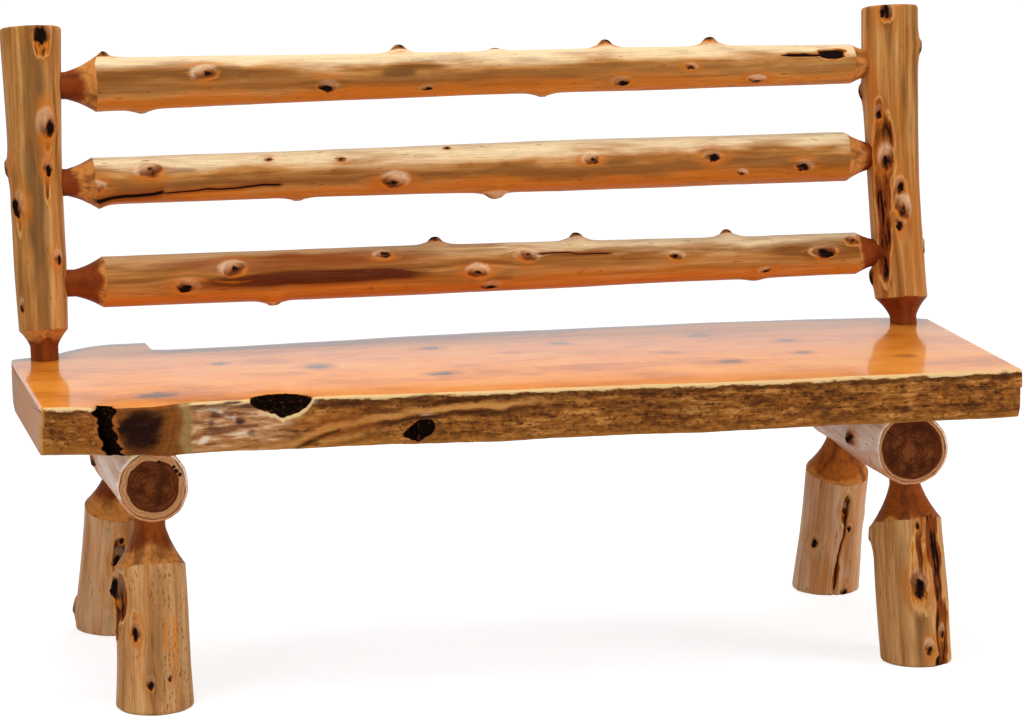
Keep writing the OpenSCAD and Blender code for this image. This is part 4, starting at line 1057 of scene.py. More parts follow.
slab = {
    "flare": 0.037, "crown": 0.047, "arris": 0.004, "thickness": bench["seatTop"] - bench["slabUnder"],
    "backTurn": 0.167,  # share of the length where the back line turns, then how the two ends curve in
    "leftCurve": (0.45, 0.020), "rightCurve": (0.43, 0.030),
    "crotch": {"start": -0.46, "end": -0.351, "length": 0.122, "rise": 0.076, "after": 0.0152},
    "branchX": -0.41, "branchReach": 0.030, "branchHalf": 0.062, "frontReach": 0.05,
    "branchFace": (-0.618, 0.424, 0.040, 0.037), "collarX": -0.547, "cutStart": (-0.664, -0.657),
    "seamX": -0.44, "seamHalf": 0.0105, "seamDepth": 0.020, "seamShift": 0.018,
    # pockets: share of the length, half length, radius, level and kind; pits: x, z, size and depth
    "pockets": [(-0.264, 0.054, 0.044, 0.0189, "top"), (-0.127, 0.027, 0.016, 0.021, "under")],
    "pits": [(-0.465, 0.428, 0.007, 1.0), (-0.503, 0.440, 0.006, 0.9), (-0.448, 0.409, 0.006, 0.8),
             (0.433, 0.420, 0.010, 0.75), (0.445, 0.406, 0.009, 0.7), (0.418, 0.410, 0.008, 0.6),
             (0.574, 0.405, 0.007, 0.9), (0.733, 0.452, 0.007, 1.0), (0.10, 0.418, 0.006, 0.6),
             (0.22, 0.402, 0.007, 0.6), (0.655, 0.43, 0.005, 0.6), (-0.27, 0.40, 0.005, 0.7),
             (0.02, 0.437, 0.005, 0.5), (0.33, 0.425, 0.006, 0.5)],
    "ridge": (-0.385, 0.392, 0.050, 0.12),  # x where it starts, level there, climb and length
    # marks of colour on the front: x, z, half length, half height, lean, strength
    "darkMarks": [(-0.509, 0.427, 0.006, 0.005, 0, 0.9), (-0.480, 0.456, 0.024, 0.0025, 0.05, 0.9),
                  (-0.505, 0.419, 0.012, 0.004, -0.2, 0.5), (-0.305, 0.447, 0.022, 0.006, 0, 0.8),
                  (-0.262, 0.441, 0.012, 0.005, 0, 0.8), (-0.200, 0.455, 0.030, 0.003, 0.1, 0.7),
                  (-0.10, 0.450, 0.05, 0.0035, 0.05, 0.7), (0.25, 0.420, 0.07, 0.012, 0, 0.30),
                  (0.16, 0.428, 0.06, 0.006, 0, 0.45), (-0.325, 0.404, 0.020, 0.0028, 0.3, 0.8),
                  (-0.355, 0.388, 0.012, 0.004, 0, 0.7), (-0.245, 0.411, 0.016, 0.0028, 0.3, 0.8)],
    # pale marks are pale scuffs, but the one at x -0.352 is a painted highlight
    "paleMarks": [(-0.521, 0.402, 0.009, 0.006, 0.5, 0.8), (-0.492, 0.441, 0.022, 0.0035, -0.45, 0.7),
                  (-0.181, 0.428, 0.010, 0.0030, 0, 0.35),
                  (-0.352, 0.457, 0.006, 0.007, 0, 0.9), (-0.470, 0.410, 0.020, 0.004, 0.1, 0.4)],
    "orangeMarks": [(-0.534, 0.441, 0.005, 0.013, -0.3, 0.9), (-0.529, 0.410, 0.005, 0.010, 0, 0.8),
                    (-0.485, 0.405, 0.012, 0.004, 0, 0.6), (-0.697, 0.42, 0.008, 0.03, 0, 0.5),
                    (-0.310, 0.418, 0.060, 0.022, 0, 0.55)],
    # the section: levels as shares of the thickness, shares of the wane, and how far in the back's foot lies
    "levels": (0.75, 0.5, 0.26, 0.09, 0.12, 0.4), "waneShares": (0.05, 0.2, 0.6, 1),
    "backFoot": (0.036, 0.014, 0.003),
    # columns from corner to corner of the section, then over the top, closer near its front
    "columns": (3, 10, 11, 11, 9, 6, 12, 7, 7, 7, 7, 3), "topColumns": (46, 26), "topShares": (0.885, 0.115),
    "fineStep": 0.0021, "coarseStep": 0.0042, "fineUpTo": -0.13, "lastStep": 0.004,  # finer where the edge shows more
    "endSteps": (0.0006, 0.0017, 0.003), "endInset": (0.006, 0.0022, 0.0009, 0.0002),
    # knots in the top: x, y, half length, half width, tone
    "knots": [(-0.580, -0.172, 0.034, 0.024, 0.3), (-0.302, 0.002, 0.024, 0.020, 0.2),
              (-0.101, 0.112, 0.020, 0.015, 0.2), (-0.122, -0.099, 0.026, 0.017, 0.3),
              (0.113, 0.107, 0.018, 0.014, 0.2), (0.093, -0.098, 0.022, 0.016, 0.6),
              (0.260, -0.007, 0.018, 0.014, 0.5), (0.350, 0.125, 0.022, 0.018, 0.2),
              (0.337, -0.104, 0.024, 0.016, 0.3), (0.476, 0.050, 0.020, 0.016, 0.2),
              (0.471, -0.056, 0.018, 0.013, 0.4), (0.020, 0.048, 0.014, 0.010, 0.6),
              (-0.45, 0.06, 0.016, 0.012, 0.4), (0.62, -0.12, 0.016, 0.012, 0.5)],
}


def frontEdge(x):
    share = x / bench["length"]
    branch = 1.15 * slab["branchReach"] * bump(x - slab["branchX"] * bench["length"], slab["branchHalf"])
    return (bench["frontLine"] + slab["flare"] * (1 - np.clip((share + 0.36) / 0.6, 0, 1))
            - np.minimum(slab["branchReach"], branch)
            + 0.002 * np.sin(np.radians(900 * x)) + 0.0012 * np.sin(np.radians(2300 * x + 60)))


def backEdge(x):
    share, crotch = x / bench["length"], slab["crotch"]
    end = crotch["end"] * bench["length"]
    rise = np.clip((x - crotch["start"] * bench["length"]) / crotch["length"], 0, 1)
    stub = np.where(x < end, crotch["rise"] * np.sin(np.pi / 2 * rise),
                    crotch["after"] * np.exp(np.minimum(end - x, 0) / crotch["length"] * 3))
    (left, leftIn), (right, rightIn) = slab["leftCurve"], slab["rightCurve"]
    return (bench["frontLine"] + bench["depth"]
            - slab["crown"] * np.minimum(1, ((share - slab["backTurn"]) / 0.5) ** 2)
            - leftIn * np.clip((-left - share) / 0.05, 0, 1) ** 2
            - rightIn * np.clip((share - right) / 0.07, 0, 1) ** 2
            + stub + 0.002 * np.sin(np.radians(800 * x + 120)) + 0.001 * np.sin(np.radians(2100 * x)))


def frontWane(x):
    share = x / bench["length"]
    return (0.003 + 0.002 * np.sin(np.radians(1100 * x))
            + 0.029 * np.clip((-0.375 * bench["length"] - x) / 0.040, 0, 1) + 0.009 * np.clip(share / 0.3, 0, 1))


def slabSection(x):  # corners of the section: down the front, along the underside and up the back
    f, b, w = frontEdge(x), backEdge(x), frontWane(x)
    bulge = 0.0025 + 0.0015 * np.sin(np.radians(1700 * x))
    top, under, arris = bench["seatTop"], bench["slabUnder"], slab["arris"]
    level = [under + share * slab["thickness"] for share in slab["levels"]]
    worn, foot = [w * share for share in slab["waneShares"]], [b - inset for inset in slab["backFoot"]]
    one = np.ones(x.shape)
    corners = [(f + arris, top), (f, top - arris), (f - bulge * 0.7, level[0]), (f - bulge + worn[0], level[1]),
               (f + worn[1], level[2]), (f + worn[2], level[3]), (f + worn[3], under), (foot[0], under),
               (foot[1], level[4]), (foot[2], level[5]), (b + bulge * 0.5, level[0]), (b, top - arris),
               (b - arris, top)]
    return np.stack([np.stack([y * one, z * one], -1) for y, z in corners], 1)


def slabColumns():  # (corner, share) of each column, and the face of the slab that it starts
    faces = ["front"] * 6 + ["under"] + ["back"] * 5
    columns = [(corner, i / count, face) for corner, (count, face) in enumerate(zip(slab["columns"], faces))
               for i in range(count)]
    (coarse, fine), (most, rest) = slab["topColumns"], slab["topShares"]
    shares = [most * i / coarse for i in range(coarse)] + [most + rest * i / fine for i in range(fine)]
    return columns + [(len(faces), share, "top") for share in shares]


def ridgeAt(x, z):  # a ridge that climbs out of the hollow's left end and runs on below the arris
    start, low, climb, length = slab["ridge"]
    line = low + climb * (1 - np.exp(-np.maximum(x - start, 0) / length))
    line = line + 0.0022 * softNoise(x * 30, 0, 0, 53) + 0.0010 * softNoise(x * 90, 0, 0, 54)
    thick = 1 + 0.35 * softNoise(x * 38, 0, 0, 56)
    upper = 1.05 * bump(z - line, 0.0048 * thick) - 0.9 * bump(z - line + 0.0098, 0.0036)
    upper = upper - 0.5 * bump(z - line - 0.010, 0.0035)
    upper = upper * ease(start - 0.03, start + 0.03, x) * (1 - ease(-0.10, 0.06, x))
    lower = bump(z - line + 0.020, 0.0045 * thick) - 0.7 * bump(z - line + 0.0275, 0.0040)
    lower = lower * ease(-0.44, -0.38, x) * (1 - ease(-0.30, -0.22, x))
    return upper + 0.5 * lower


def marksAt(name, x, z):
    value = np.zeros(x.shape)
    for cx, cz, long, high, lean, strength in slab[name]:
        rise = z - cz - lean * (x - cx)
        d = np.hypot((x - cx) / long, rise / high) + 0.35 * softNoise(x * 120, z * 170, cx * 31, 57)
        value = np.maximum(value, strength * (1 - ease(0.45, 1.35, d)))
    return value


def cutFaceAt(x, z):  # where the branch was sawn off flush, from the seam to its collar
    edge = slab["collarX"] + 0.003 * np.sin(z * 120)
    return ease(*slab["cutStart"], x) * (1 - ease(edge - 0.010, edge, x)), bump(x - edge, 0.0085)


def liveEdge(x, z, front):  # how far the natural surface stands out
    rise = 0.0020 * softNoise(x * 8, z * 36, 0, 41 + front) + 0.0011 * softNoise(x * 26, z * 85, 0, 43 + front)
    rise += 0.0007 * softNoise(x * 80, z * 150, 0, 45 + front) + 0.0003 * softNoise(x * 210, z * 300, 0, 47)
    if not front:
        return rise
    worn = ease(-0.545, -0.535, x) * (1 - ease(-0.440, -0.425, x)) * ease(0.385, 0.40, z)
    lean = z - 0.2 * x
    rise += worn * (0.0026 * softNoise(x * 24, lean * 95, 3, 51) + 0.0016 * softNoise(x * 80, lean * 180, 3, 52))
    rise += 0.0016 * marksAt("paleMarks", x, z) - 0.0022 * marksAt("darkMarks", x, z)
    rise += 0.0040 * ridgeAt(x, z)
    for px, pz, size, depth in slab["pits"]:
        d = np.hypot(x - px, (z - pz) * 1.2) / size + 0.25 * softNoise(x * 200, z * 200, px * 9, 55)
        rise -= 0.0034 * depth * (1 - ease(0.3, 1.1, d))
    far = branchDistance(x, z)
    cut, collar = cutFaceAt(x, z)
    rise = rise * (1 - 0.85 * cut) - 0.0010 * bump(far - 1.04, 0.05) + 0.0022 * collar
    return rise


def branchDistance(x, z):
    cx, cz, rx, rz = slab["branchFace"]
    angle = np.arctan2(z - cz, x - cx)
    return np.hypot((x - cx) / rx, (z - cz) / rz) * (1 + 0.05 * np.cos(3 * angle + 1) + 0.03 * np.cos(5 * angle))


def seamPlace(z):
    u = np.clip((z - bench["slabUnder"]) / slab["thickness"], 0, 1)
    return slab["seamX"] * bench["length"] + slab["seamShift"] * (1 - u) ** 2 + 0.0015 * softNoise(z * 120, 0, 0, 61)


def carveSlab(x, y, z):  # the hollow, the knot hole and the seam of bark; tells how dark and how near a rim
    dark, rim = np.zeros(x.shape), np.zeros(x.shape)
    for share, half, radius, level, kind in slab["pockets"]:
        cx = share * bench["length"]
        cz = bench["seatTop"] + level if kind == "top" else bench["slabUnder"] + level
        cy = frontEdge(np.array(cx))
        along = (x - cx) / half
        if kind == "under":  # leans down to a tail at its left
            cz = cz + 0.28 * half * along
        angle = np.arctan2(z - cz, y - cy)
        rough = 1 + 0.10 * softNoise(x * 60, angle * 6, 0, 63) + 0.05 * softNoise(x * 170, angle * 14, 0, 64)
        rough = rough + (0.18 * softNoise(x * 110, angle * 3, 0, 65) if kind == "under" else 0)
        reach = np.sqrt(np.clip(1 - along ** 2, 0, 1))
        if kind == "under":
            reach = np.where(along < 0, np.clip(1 + along, 0, 1) ** 0.8, reach)
        reach = radius * rough * reach
        away = np.hypot(y - cy, z - cz)
        inside = (away < reach) & (away > 1e-6)
        grow = np.where(inside, reach / np.maximum(away, 1e-6), 1)
        depth = np.where(inside, reach - away, 0)
        if kind == "top":
            lip = ease(-0.75, -0.2, along) * (1 - ease(0.0050, 0.0085, away - reach)) * (z < cz - 0.016)
            rim = np.maximum(rim, np.where(inside, 0, lip))
            y = y - 0.0022 * np.where(inside, 0, lip)
        y, z = cy + (y - cy) * grow, cz + (z - cz) * grow
        dark = np.maximum(dark, ease(0.0004, 0.0025, depth))
    across = np.abs(x - seamPlace(z)) / slab["seamHalf"]
    front = frontEdge(x) + np.where(z < bench["seatTop"] - 0.03, frontWane(x) * 0.6, 0)
    across = across * (1 + 0.35 * softNoise(z * 190, x * 20, 0, 67))
    cut = slab["seamDepth"] * np.clip(1.25 - across, 0, 1)
    behind = y - front
    dark = np.maximum(dark, (1 - ease(0.9, 1.45, across)) * (1 - ease(0.018, 0.022, behind)))
    y = np.where((behind < cut) & (behind > -0.03), np.maximum(y, front + cut), y)
    return y, z, dark, rim


def buildSlab(materials):
    half = bench["length"] / 2
    near, middle, far = slab["endSteps"]
    fine = np.arange(-half + far, slab["fineUpTo"], slab["fineStep"])
    coarse = np.arange(slab["fineUpTo"], half - slab["lastStep"], slab["coarseStep"])
    stations = np.concatenate([[-half, -half, -half + near, -half + middle], fine, coarse,
                               [half - far, half - middle, half - near, half, half]])
    inset = np.zeros(len(stations))  # the ends' rims are rounded
    inset[:4], inset[-4:] = slab["endInset"], slab["endInset"][::-1]
    columns = slabColumns()
    corners = slabSection(stations)
    following = np.roll(corners, -1, axis=1)
    which = np.array([c for c, _, _ in columns])
    share = np.array([s for _, s, _ in columns])
    section = corners[:, which] * (1 - share)[None, :, None] + following[:, which] * share[None, :, None]
    face = np.array([f for _, _, f in columns])
    x = np.repeat(stations[:, None], len(columns), 1)
    y, z = section[..., 0], section[..., 1]
    ty, tz = np.roll(y, -1, 1) - np.roll(y, 1, 1), np.roll(z, -1, 1) - np.roll(z, 1, 1)
    size = np.maximum(np.hypot(ty, tz), 1e-9)
    ny, nz = tz / size, -ty / size
    drop = bench["seatTop"] - z
    mask = ease(0.002, 0.014, drop) * (0.35 + 0.65 * ease(0, 0.012, z - bench["slabUnder"]))
    rise = np.where(face == "front", liveEdge(x, z, 1), np.where(face == "back", liveEdge(x, z, 0), 0)) * mask
    wave = 0.0006 * softNoise(x * 30, 0, 0, 71) + 0.0004 * softNoise(x * 90, 0, 0, 72)  # the arris wanders
    rise = rise + np.where(face == "top", 0, wave * (1 - mask)) * (drop > 0.0005)
    rise = rise - inset[:, None]
    y, z = y + ny * rise, z + nz * rise
    y, z, dark, rim = carveSlab(x, y, z)
    z = np.minimum(z, bench["seatTop"])
    rings = np.stack([x, y, z], -1)
    mesh = loftMesh("slab", rings[:, ::-1])
    shaded = dark[:, ::-1]
    order = np.arange(len(columns))[::-1]
    kinds = {"top": 0, "front": 1, "back": 1, "under": 2}
    perFace = [kinds[face[order[(j + 1) % len(columns)]]] for j in range(len(columns))]
    index = np.array(perFace * (len(stations) - 1) + [2] * (2 * len(columns)))
    around = np.roll(shaded, -1, 1)
    average = (shaded[:-1] + shaded[1:] + around[:-1] + around[1:]) / 4
    index[:average.size][average.ravel() > 0.6] = 3
    mesh.polygons.foreach_set("material_index", index)
    flip = [np.concatenate([value[:, ::-1].ravel(), [0, 0]]) for value in (dark, rim)]
    giveValues(mesh, {"hollow": flip[0], "rim": flip[1]})
    mesh = drilled(mesh, allHoles["seat_slab"], 2)
    dressSlab(mesh)
    return addPiece("slab", mesh, "seat_slab", materials)


def dressSlab(mesh):
    x, y, z = pointsOf(mesh).T
    far, tone = np.full(x.shape, 9.0), np.zeros(x.shape)
    gy = y.copy()
    for cx, cy, long, wide, shade in slab["knots"]:
        angle = np.arctan2(y - cy, x - cx)
        lobes = 1 + 0.10 * np.cos(2 * angle + cx * 40) + 0.07 * np.cos(3 * angle)
        d = np.hypot((x - cx) / long, (y - cy) / wide) * lobes
        tone = np.where(d < far, shade, tone)
        far = np.minimum(far, d)
        gy -= np.sign(y - cy) * wide * 0.8 * bump(np.hypot((x - cx) / (long * 2.2), (y - cy) / wide), 1.6)
    spots = np.zeros(x.shape)
    for px, pz, size, depth in slab["pits"]:
        d = np.hypot((x - px) / 1.25, z - pz) / size
        spots = np.maximum(spots, depth * (1 - ease(0.35, 1.35, d)))
    front = y < frontEdge(x) + slab["frontReach"]
    cut, collar = cutFaceAt(x, z)
    onFront = {
        "stain": np.maximum(spots, marksAt("darkMarks", x, z)), "ridge": ridgeAt(x, z), "collar": collar,
        "cutFace": cut, "worn": ease(-0.545, -0.535, x) * (1 - ease(-0.425, -0.36, x)),
        "paleMark": marksAt("paleMarks", x, z), "orangeMark": marksAt("orangeMarks", x, z),
    }
    giveValues(mesh, {name: np.where(front, value, 0) for name, value in onFront.items()})
    giveValues(mesh, {
        "grain": np.stack([x, gy, z], 1), "knotFar": far, "knotTone": tone,
        "branchFar": np.where(front, branchDistance(x, z), 9.0),
        # distances in centimetres
        "fromSeam": np.where(front, np.abs(x - seamPlace(z)), 1) * 100, "fromBack": (backEdge(x) - y) * 100,
        "above": (z - bench["slabUnder"]) * 100, "drop": np.maximum(bench["seatTop"] - z, 0) * 100,
    })


seatWood = {
    "deep": (0.58, 0.160, 0.012), "orange": (0.86, 0.272, 0.021), "pale": (0.93, 0.355, 0.040),
    "shade": (0.36, 0.110, 0.024), "knot": (0.060, 0.028, 0.022), "knotGrey": (0.15, 0.085, 0.062),
    "coatRoughness": 0.09,
    "barkDark": (0.060, 0.018, 0.006), "bark": (0.20, 0.066, 0.014), "barkWarm": (0.33, 0.115, 0.022),
    "barkPale": (0.60, 0.27, 0.070), "cream": (0.86, 0.58, 0.27), "black": (0.006, 0.003, 0.002),
    "heart": (0.016, 0.005, 0.003), "ringWood": (0.27, 0.080, 0.014), "sawn": (0.78, 0.40, 0.225),
    "sawnDark": (0.50, 0.22, 0.11), "sawnGrey": (0.60, 0.40, 0.31), "golden": (0.43, 0.160, 0.024),
    "tan": (0.46, 0.205, 0.075), "tanDark": (0.20, 0.068, 0.018), "tanPale": (0.74, 0.44, 0.24),
    "redBark": (0.42, 0.120, 0.022), "chalk": (0.95, 0.78, 0.62),
    "mauve": (0.17, 0.105, 0.090), "border": (0.31, 0.200, 0.070),
    # noises of the live edge: scale, detail, shift and roughness
    "edgeNoises": {"mottle": ((32, 80, 80), 5, 5, 0.66), "streak": ((9, 90, 130), 4, 13, 0.6),
                   "speck": ((70, 190, 240), 3, 27), "grit": ((110, 330, 360), 3, 61),
                   "crust": ((120, 150, 150), 3, 47, 0.6), "flow": ((20, 75, 110), 5, 77, 0.64)},
}


def varnishedTop():
    material, tree, shader = newFinish("varnishedTop")
    place = readValue(tree, "grain", "Vector")
    band = grainNoise(tree, place, (2.6, 14, 14), 4, 3)
    line = grainNoise(tree, place, (4.5, 120, 120), 3, 9)
    cloud = grainNoise(tree, place, (9, 13, 13), 4, 15, 0.6)
    pore = grainNoise(tree, place, (45, 900, 900), 2, 21)
    mixed = plus(tree, times(tree, band, 0.38), times(tree, line, 0.06))
    mixed = plus(tree, mixed, times(tree, cloud, 0.56))
    colour = rampColour(tree, mixed, [(0.38, seatWood["deep"]), (0.49, seatWood["orange"]), (0.62, seatWood["pale"])])
    colour = stepColour(tree, colour, seatWood["deep"], pore, 0.45, 0.8, 0.0, 0.2)
    ragged = grainNoise(tree, place, (70, 110, 70), 3, 33)
    far = plus(tree, readValue(tree, "knotFar"), span(tree, ragged, 0.3, 0.7, -0.30, 0.30))
    colour = stepColour(tree, colour, seatWood["deep"], far, 0.95, 2.1, 0.75, 0.0)
    grey = blendColour(tree, span(tree, ragged, 0.35, 0.65), seatWood["knotGrey"], seatWood["knot"])
    grey = stepColour(tree, grey, seatWood["deep"], readValue(tree, "knotTone"), 0.35, 0.6)
    colour = stepColour(tree, colour, grey, far, 0.60, 1.05, 0.9, 0.0)
    depth = readValue(tree, "fromBack")
    back = plus(tree, depth, span(tree, band, 0.3, 0.7, -1.6, 1.6))
    along, across = addNode(tree, "ShaderNodeSeparateXYZ", {0: place}).outputs[:2]
    shade = plus(tree, span(tree, across, -0.20, 0.22, 0.04, 0.30), span(tree, along, -0.5, 0.6, -0.06, 0.09),
                 clamp=True)
    colour = blendColour(tree, shade, colour, seatWood["shade"])
    colour = stepColour(tree, colour, seatWood["mauve"], back, 1.4, 4.6, 0.9, 0.0)
    colour = blendColour(tree, readValue(tree, "hollow"), colour, seatWood["black"])
    relief = reliefNode(tree, grainNoise(tree, place, (14, 22, 22), 1, 40), 0.03, 0.003)
    feed(tree, shader, {"Base Color": colour, "Roughness": span(tree, line, 0.3, 0.7, 0.42, 0.30),
                        "Specular IOR Level": 0.1, "Coat Weight": span(tree, depth, 14, 44, 0.66, 0.42),
                        "Coat Roughness": seatWood["coatRoughness"], "Coat Normal": relief})
    return material


def barkColour(tree, noise, low, left):  # dark bark with warm patches, golden towards the underside
    tone = plus(tree, times(tree, noise["mottle"], 0.48), times(tree, noise["streak"], 0.37))
    tone = plus(tree, tone, times(tree, noise["grit"], 0.15))
    colour = rampColour(tree, tone, [(0.40, seatWood["barkDark"]), (0.465, seatWood["bark"]),
                                     (0.525, seatWood["barkWarm"]), (0.61, seatWood["barkPale"])])
    colour = stepColour(tree, colour, seatWood["barkDark"], noise["speck"], 0.57, 0.68, 0.0, 0.85)
    colour = stepColour(tree, colour, seatWood["golden"], noise["crust"], 0.54, 0.66, 0.0, 0.45)
    colour = stepColour(tree, colour, seatWood["barkDark"], noise["crust"], 0.36, 0.44, 0.65, 0.0)
    lowest = times(tree, span(tree, low, 0.3, 2.0, 0.7, 0.0), span(tree, left, -0.30, -0.15, 1.0, 0.35))
    return blendColour(tree, lowest, colour, seatWood["golden"])


def wornColour(tree, noise, low, worn, colour):  # right of the branch: tan fibres along the edge, a ridge with a painted highlight on its crest and painted shade in the groove under it, and marks, one pale mark being a painted highlight
    flow = noise["flow"]
    fibres = rampColour(tree, flow, [(0.42, seatWood["tanDark"]), (0.48, seatWood["tan"]),
                                     (0.53, seatWood["tan"]), (0.59, seatWood["tanPale"])])
    fibres = stepColour(tree, fibres, seatWood["golden"], low, 0.5, 2.2, 0.6, 0.0)
    colour = blendColour(tree, worn, colour, fibres)
    # the ridge's crest is lightened as a painted highlight and the groove under it darkened as painted shade
    ridge = times(tree, readValue(tree, "ridge"), span(tree, noise["mottle"], 0.34, 0.56, 0.55, 1.15))
    colour = blendColour(tree, times(tree, ridge, 1.15, clamp=True), colour, seatWood["barkPale"])
    colour = blendColour(tree, times(tree, ridge, -1.15, clamp=True), colour, seatWood["barkDark"])
    rough = span(tree, noise["speck"], 0.35, 0.6, 0.55, 1.0)
    colour = blendColour(tree, times(tree, readValue(tree, "orangeMark"), rough), colour, seatWood["redBark"])
    # pale scuffs, one of which is a painted highlight
    pale = times(tree, readValue(tree, "paleMark"), span(tree, flow, 0.40, 0.56, 0.15, 0.9))
    return blendColour(tree, pale, colour, seatWood["chalk"])


def arrisColour(tree, mottle, left, colour):  # bared sapwood with a shadow under it, and the pale foot and end
    edgeLine = plus(tree, readValue(tree, "drop"), span(tree, mottle, 0.3, 0.7, -0.25, 0.25))
    under = times(tree, span(tree, edgeLine, 0.4, 0.7), span(tree, edgeLine, 0.9, 1.7, 0.6, 0.0))
    colour = blendColour(tree, under, colour, seatWood["barkDark"])
    colour = stepColour(tree, colour, seatWood["cream"], edgeLine, 0.35, 0.62, 0.9, 0.0)
    foot = plus(tree, readValue(tree, "above"), span(tree, mottle, 0.3, 0.7, -0.25, 0.25))
    foot = times(tree, span(tree, foot, 0.10, 0.55, 0.8, 0.0), span(tree, left, -0.67, -0.62, 1.0, 0.25))
    colour = blendColour(tree, foot, colour, seatWood["barkPale"])
    colour = stepColour(tree, colour, seatWood["barkPale"], left, -0.7605, -0.7565, 0.8, 0.0)
    return blendColour(tree, readValue(tree, "rim"), colour, seatWood["cream"])


def branchColour(tree, noise, colour):  # the sawn-off branch: a dark heart, warm brown round it, a dull pale collar
    mottle = noise["mottle"]
    far = plus(tree, readValue(tree, "branchFar"), span(tree, mottle, 0.3, 0.7, -0.10, 0.10))
    ring = mathNode(tree, "SINE", times(tree, far, 24.0))
    heart = blendColour(tree, span(tree, ring, 0.0, 1.0, 0.0, 0.03), seatWood["heart"], seatWood["ringWood"])
    heart = stepColour(tree, heart, seatWood["barkDark"], mottle, 0.50, 0.66, 0.0, 0.3)
    outer = blendColour(tree, span(tree, noise["streak"], 0.36, 0.62), seatWood["ringWood"], seatWood["bark"])
    outer = stepColour(tree, outer, seatWood["barkDark"], ring, -0.3, 1.0, 0.0, 0.25)
    cut = blendColour(tree, span(tree, far, 0.62, 1.18), heart, outer)
    colour = blendColour(tree, readValue(tree, "cutFace"), colour, cut)
    collar = times(tree, readValue(tree, "collar"), span(tree, mottle, 0.36, 0.56, 0.75, 1.25), clamp=True)
    border = blendColour(tree, span(tree, noise["grit"], 0.4, 0.65, 0.0, 0.5), seatWood["border"], seatWood["tan"])
    colour = blendColour(tree, collar, colour, border)
    lips = plus(tree, readValue(tree, "fromSeam"), span(tree, mottle, 0.3, 0.7, -0.25, 0.25))
    lips = times(tree, span(tree, lips, 0.85, 1.15), span(tree, lips, 1.3, 1.9, 0.75, 0.0))
    return blendColour(tree, lips, colour, seatWood["redBark"])


def liveEdgeWood():
    material, tree, shader = newFinish("liveEdgeWood")
    place = readValue(tree, "grain", "Vector")
    noise = {kind: grainNoise(tree, place, *settings) for kind, settings in seatWood["edgeNoises"].items()}
    mottle, speck, worn = noise["mottle"], noise["speck"], readValue(tree, "worn")
    low = plus(tree, readValue(tree, "above"), span(tree, mottle, 0.3, 0.7, -0.9, 0.9))
    left = addNode(tree, "ShaderNodeSeparateXYZ", {0: place}).outputs[0]
    colour = barkColour(tree, noise, low, left)
    colour = wornColour(tree, noise, low, worn, colour)
    colour = arrisColour(tree, mottle, left, colour)
    colour = branchColour(tree, noise, colour)
    stain = times(tree, readValue(tree, "stain"), span(tree, mottle, 0.32, 0.6, 1.2, 0.7), clamp=True)
    colour = blendColour(tree, stain, colour, seatWood["barkDark"])
    hollow = readValue(tree, "hollow")
    colour = stepColour(tree, colour, seatWood["black"], hollow, 0.25, 0.75)

    high = plus(tree, mottle, times(tree, speck, 0.6))
    high = plus(tree, high, times(tree, noise["flow"], times(tree, worn, 1.4)))
    high = times(tree, high, span(tree, readValue(tree, "cutFace"), 0.0, 1.0, 1.0, 0.25))
    relief = reliefNode(tree, high, 0.9, 0.0022)
    rough = plus(tree, span(tree, mottle, 0.3, 0.7, 0.50, 0.36), times(tree, hollow, 0.35))
    shine = mathNode(tree, "SUBTRACT", span(tree, worn, 0.0, 1.0, 0.02, 0.35), hollow, clamp=True)
    feed(tree, shader, {"Base Color": colour, "Roughness": rough, "Normal": relief, "Specular IOR Level": 0.02,
                        "Coat Weight": shine, "Coat Roughness": 0.16, "Coat Normal": relief})
    return material


def darkHollow():  # soft black wood in the hollow, the knot hole and the seam
    material, tree, shader = newFinish("darkHollow")
    place = readValue(tree, "grain", "Vector")
    crumb = grainNoise(tree, place, (170, 230, 230), 3, 8)
    colour = blendColour(tree, span(tree, crumb, 0.56, 0.68), seatWood["black"], seatWood["barkDark"])
    relief = reliefNode(tree, crumb, 0.9, 0.003)
    feed(tree, shader, {"Base Color": colour, "Roughness": 0.95, "Specular IOR Level": 0.0, "Normal": relief})
    return material


def sawnWood():
    material, tree, shader = newFinish("sawnWood")
    place = readValue(tree, "grain", "Vector")
    radius = vectorNode(tree, "LENGTH", vectorNode(tree, "MULTIPLY_ADD", place, (0, 1, 1), (0, -0.03, 0.05)))
    wobble = grainNoise(tree, place, (6, 22, 22), 3, 4)
    ring = mathNode(tree, "SINE", plus(tree, times(tree, radius, 1300.0), times(tree, wobble, 14.0)))
    streak = grainNoise(tree, place, (5, 160, 160), 3, 8)
    colour = blendColour(tree, span(tree, ring, -0.4, 1.0, 0.0, 0.30), seatWood["sawn"], seatWood["sawnDark"])
    patch = grainNoise(tree, place, (4, 42, 16), 3, 18)
    colour = stepColour(tree, colour, seatWood["sawnGrey"], patch, 0.42, 0.58, 0.0, 0.8)
    colour = stepColour(tree, colour, seatWood["sawnDark"], streak, 0.42, 0.7, 0.0, 0.35)
    colour = blendColour(tree, readValue(tree, "hollow"), colour, seatWood["black"])
    relief = reliefNode(tree, streak, 0.4, 0.0008)
    feed(tree, shader, {"Base Color": colour, "Roughness": 0.6, "Normal": relief, "Specular IOR Level": 0.0})
    return material


buildSlab([varnishedTop(), liveEdgeWood(), sawnWood(), darkHollow()])
print("cedar bench: slab done")


# Fasteners keep their shapes from the frame

steel = {"zinc": (0.56, 0.57, 0.58), "dull": (0.30, 0.30, 0.31), "roughness": 0.34}


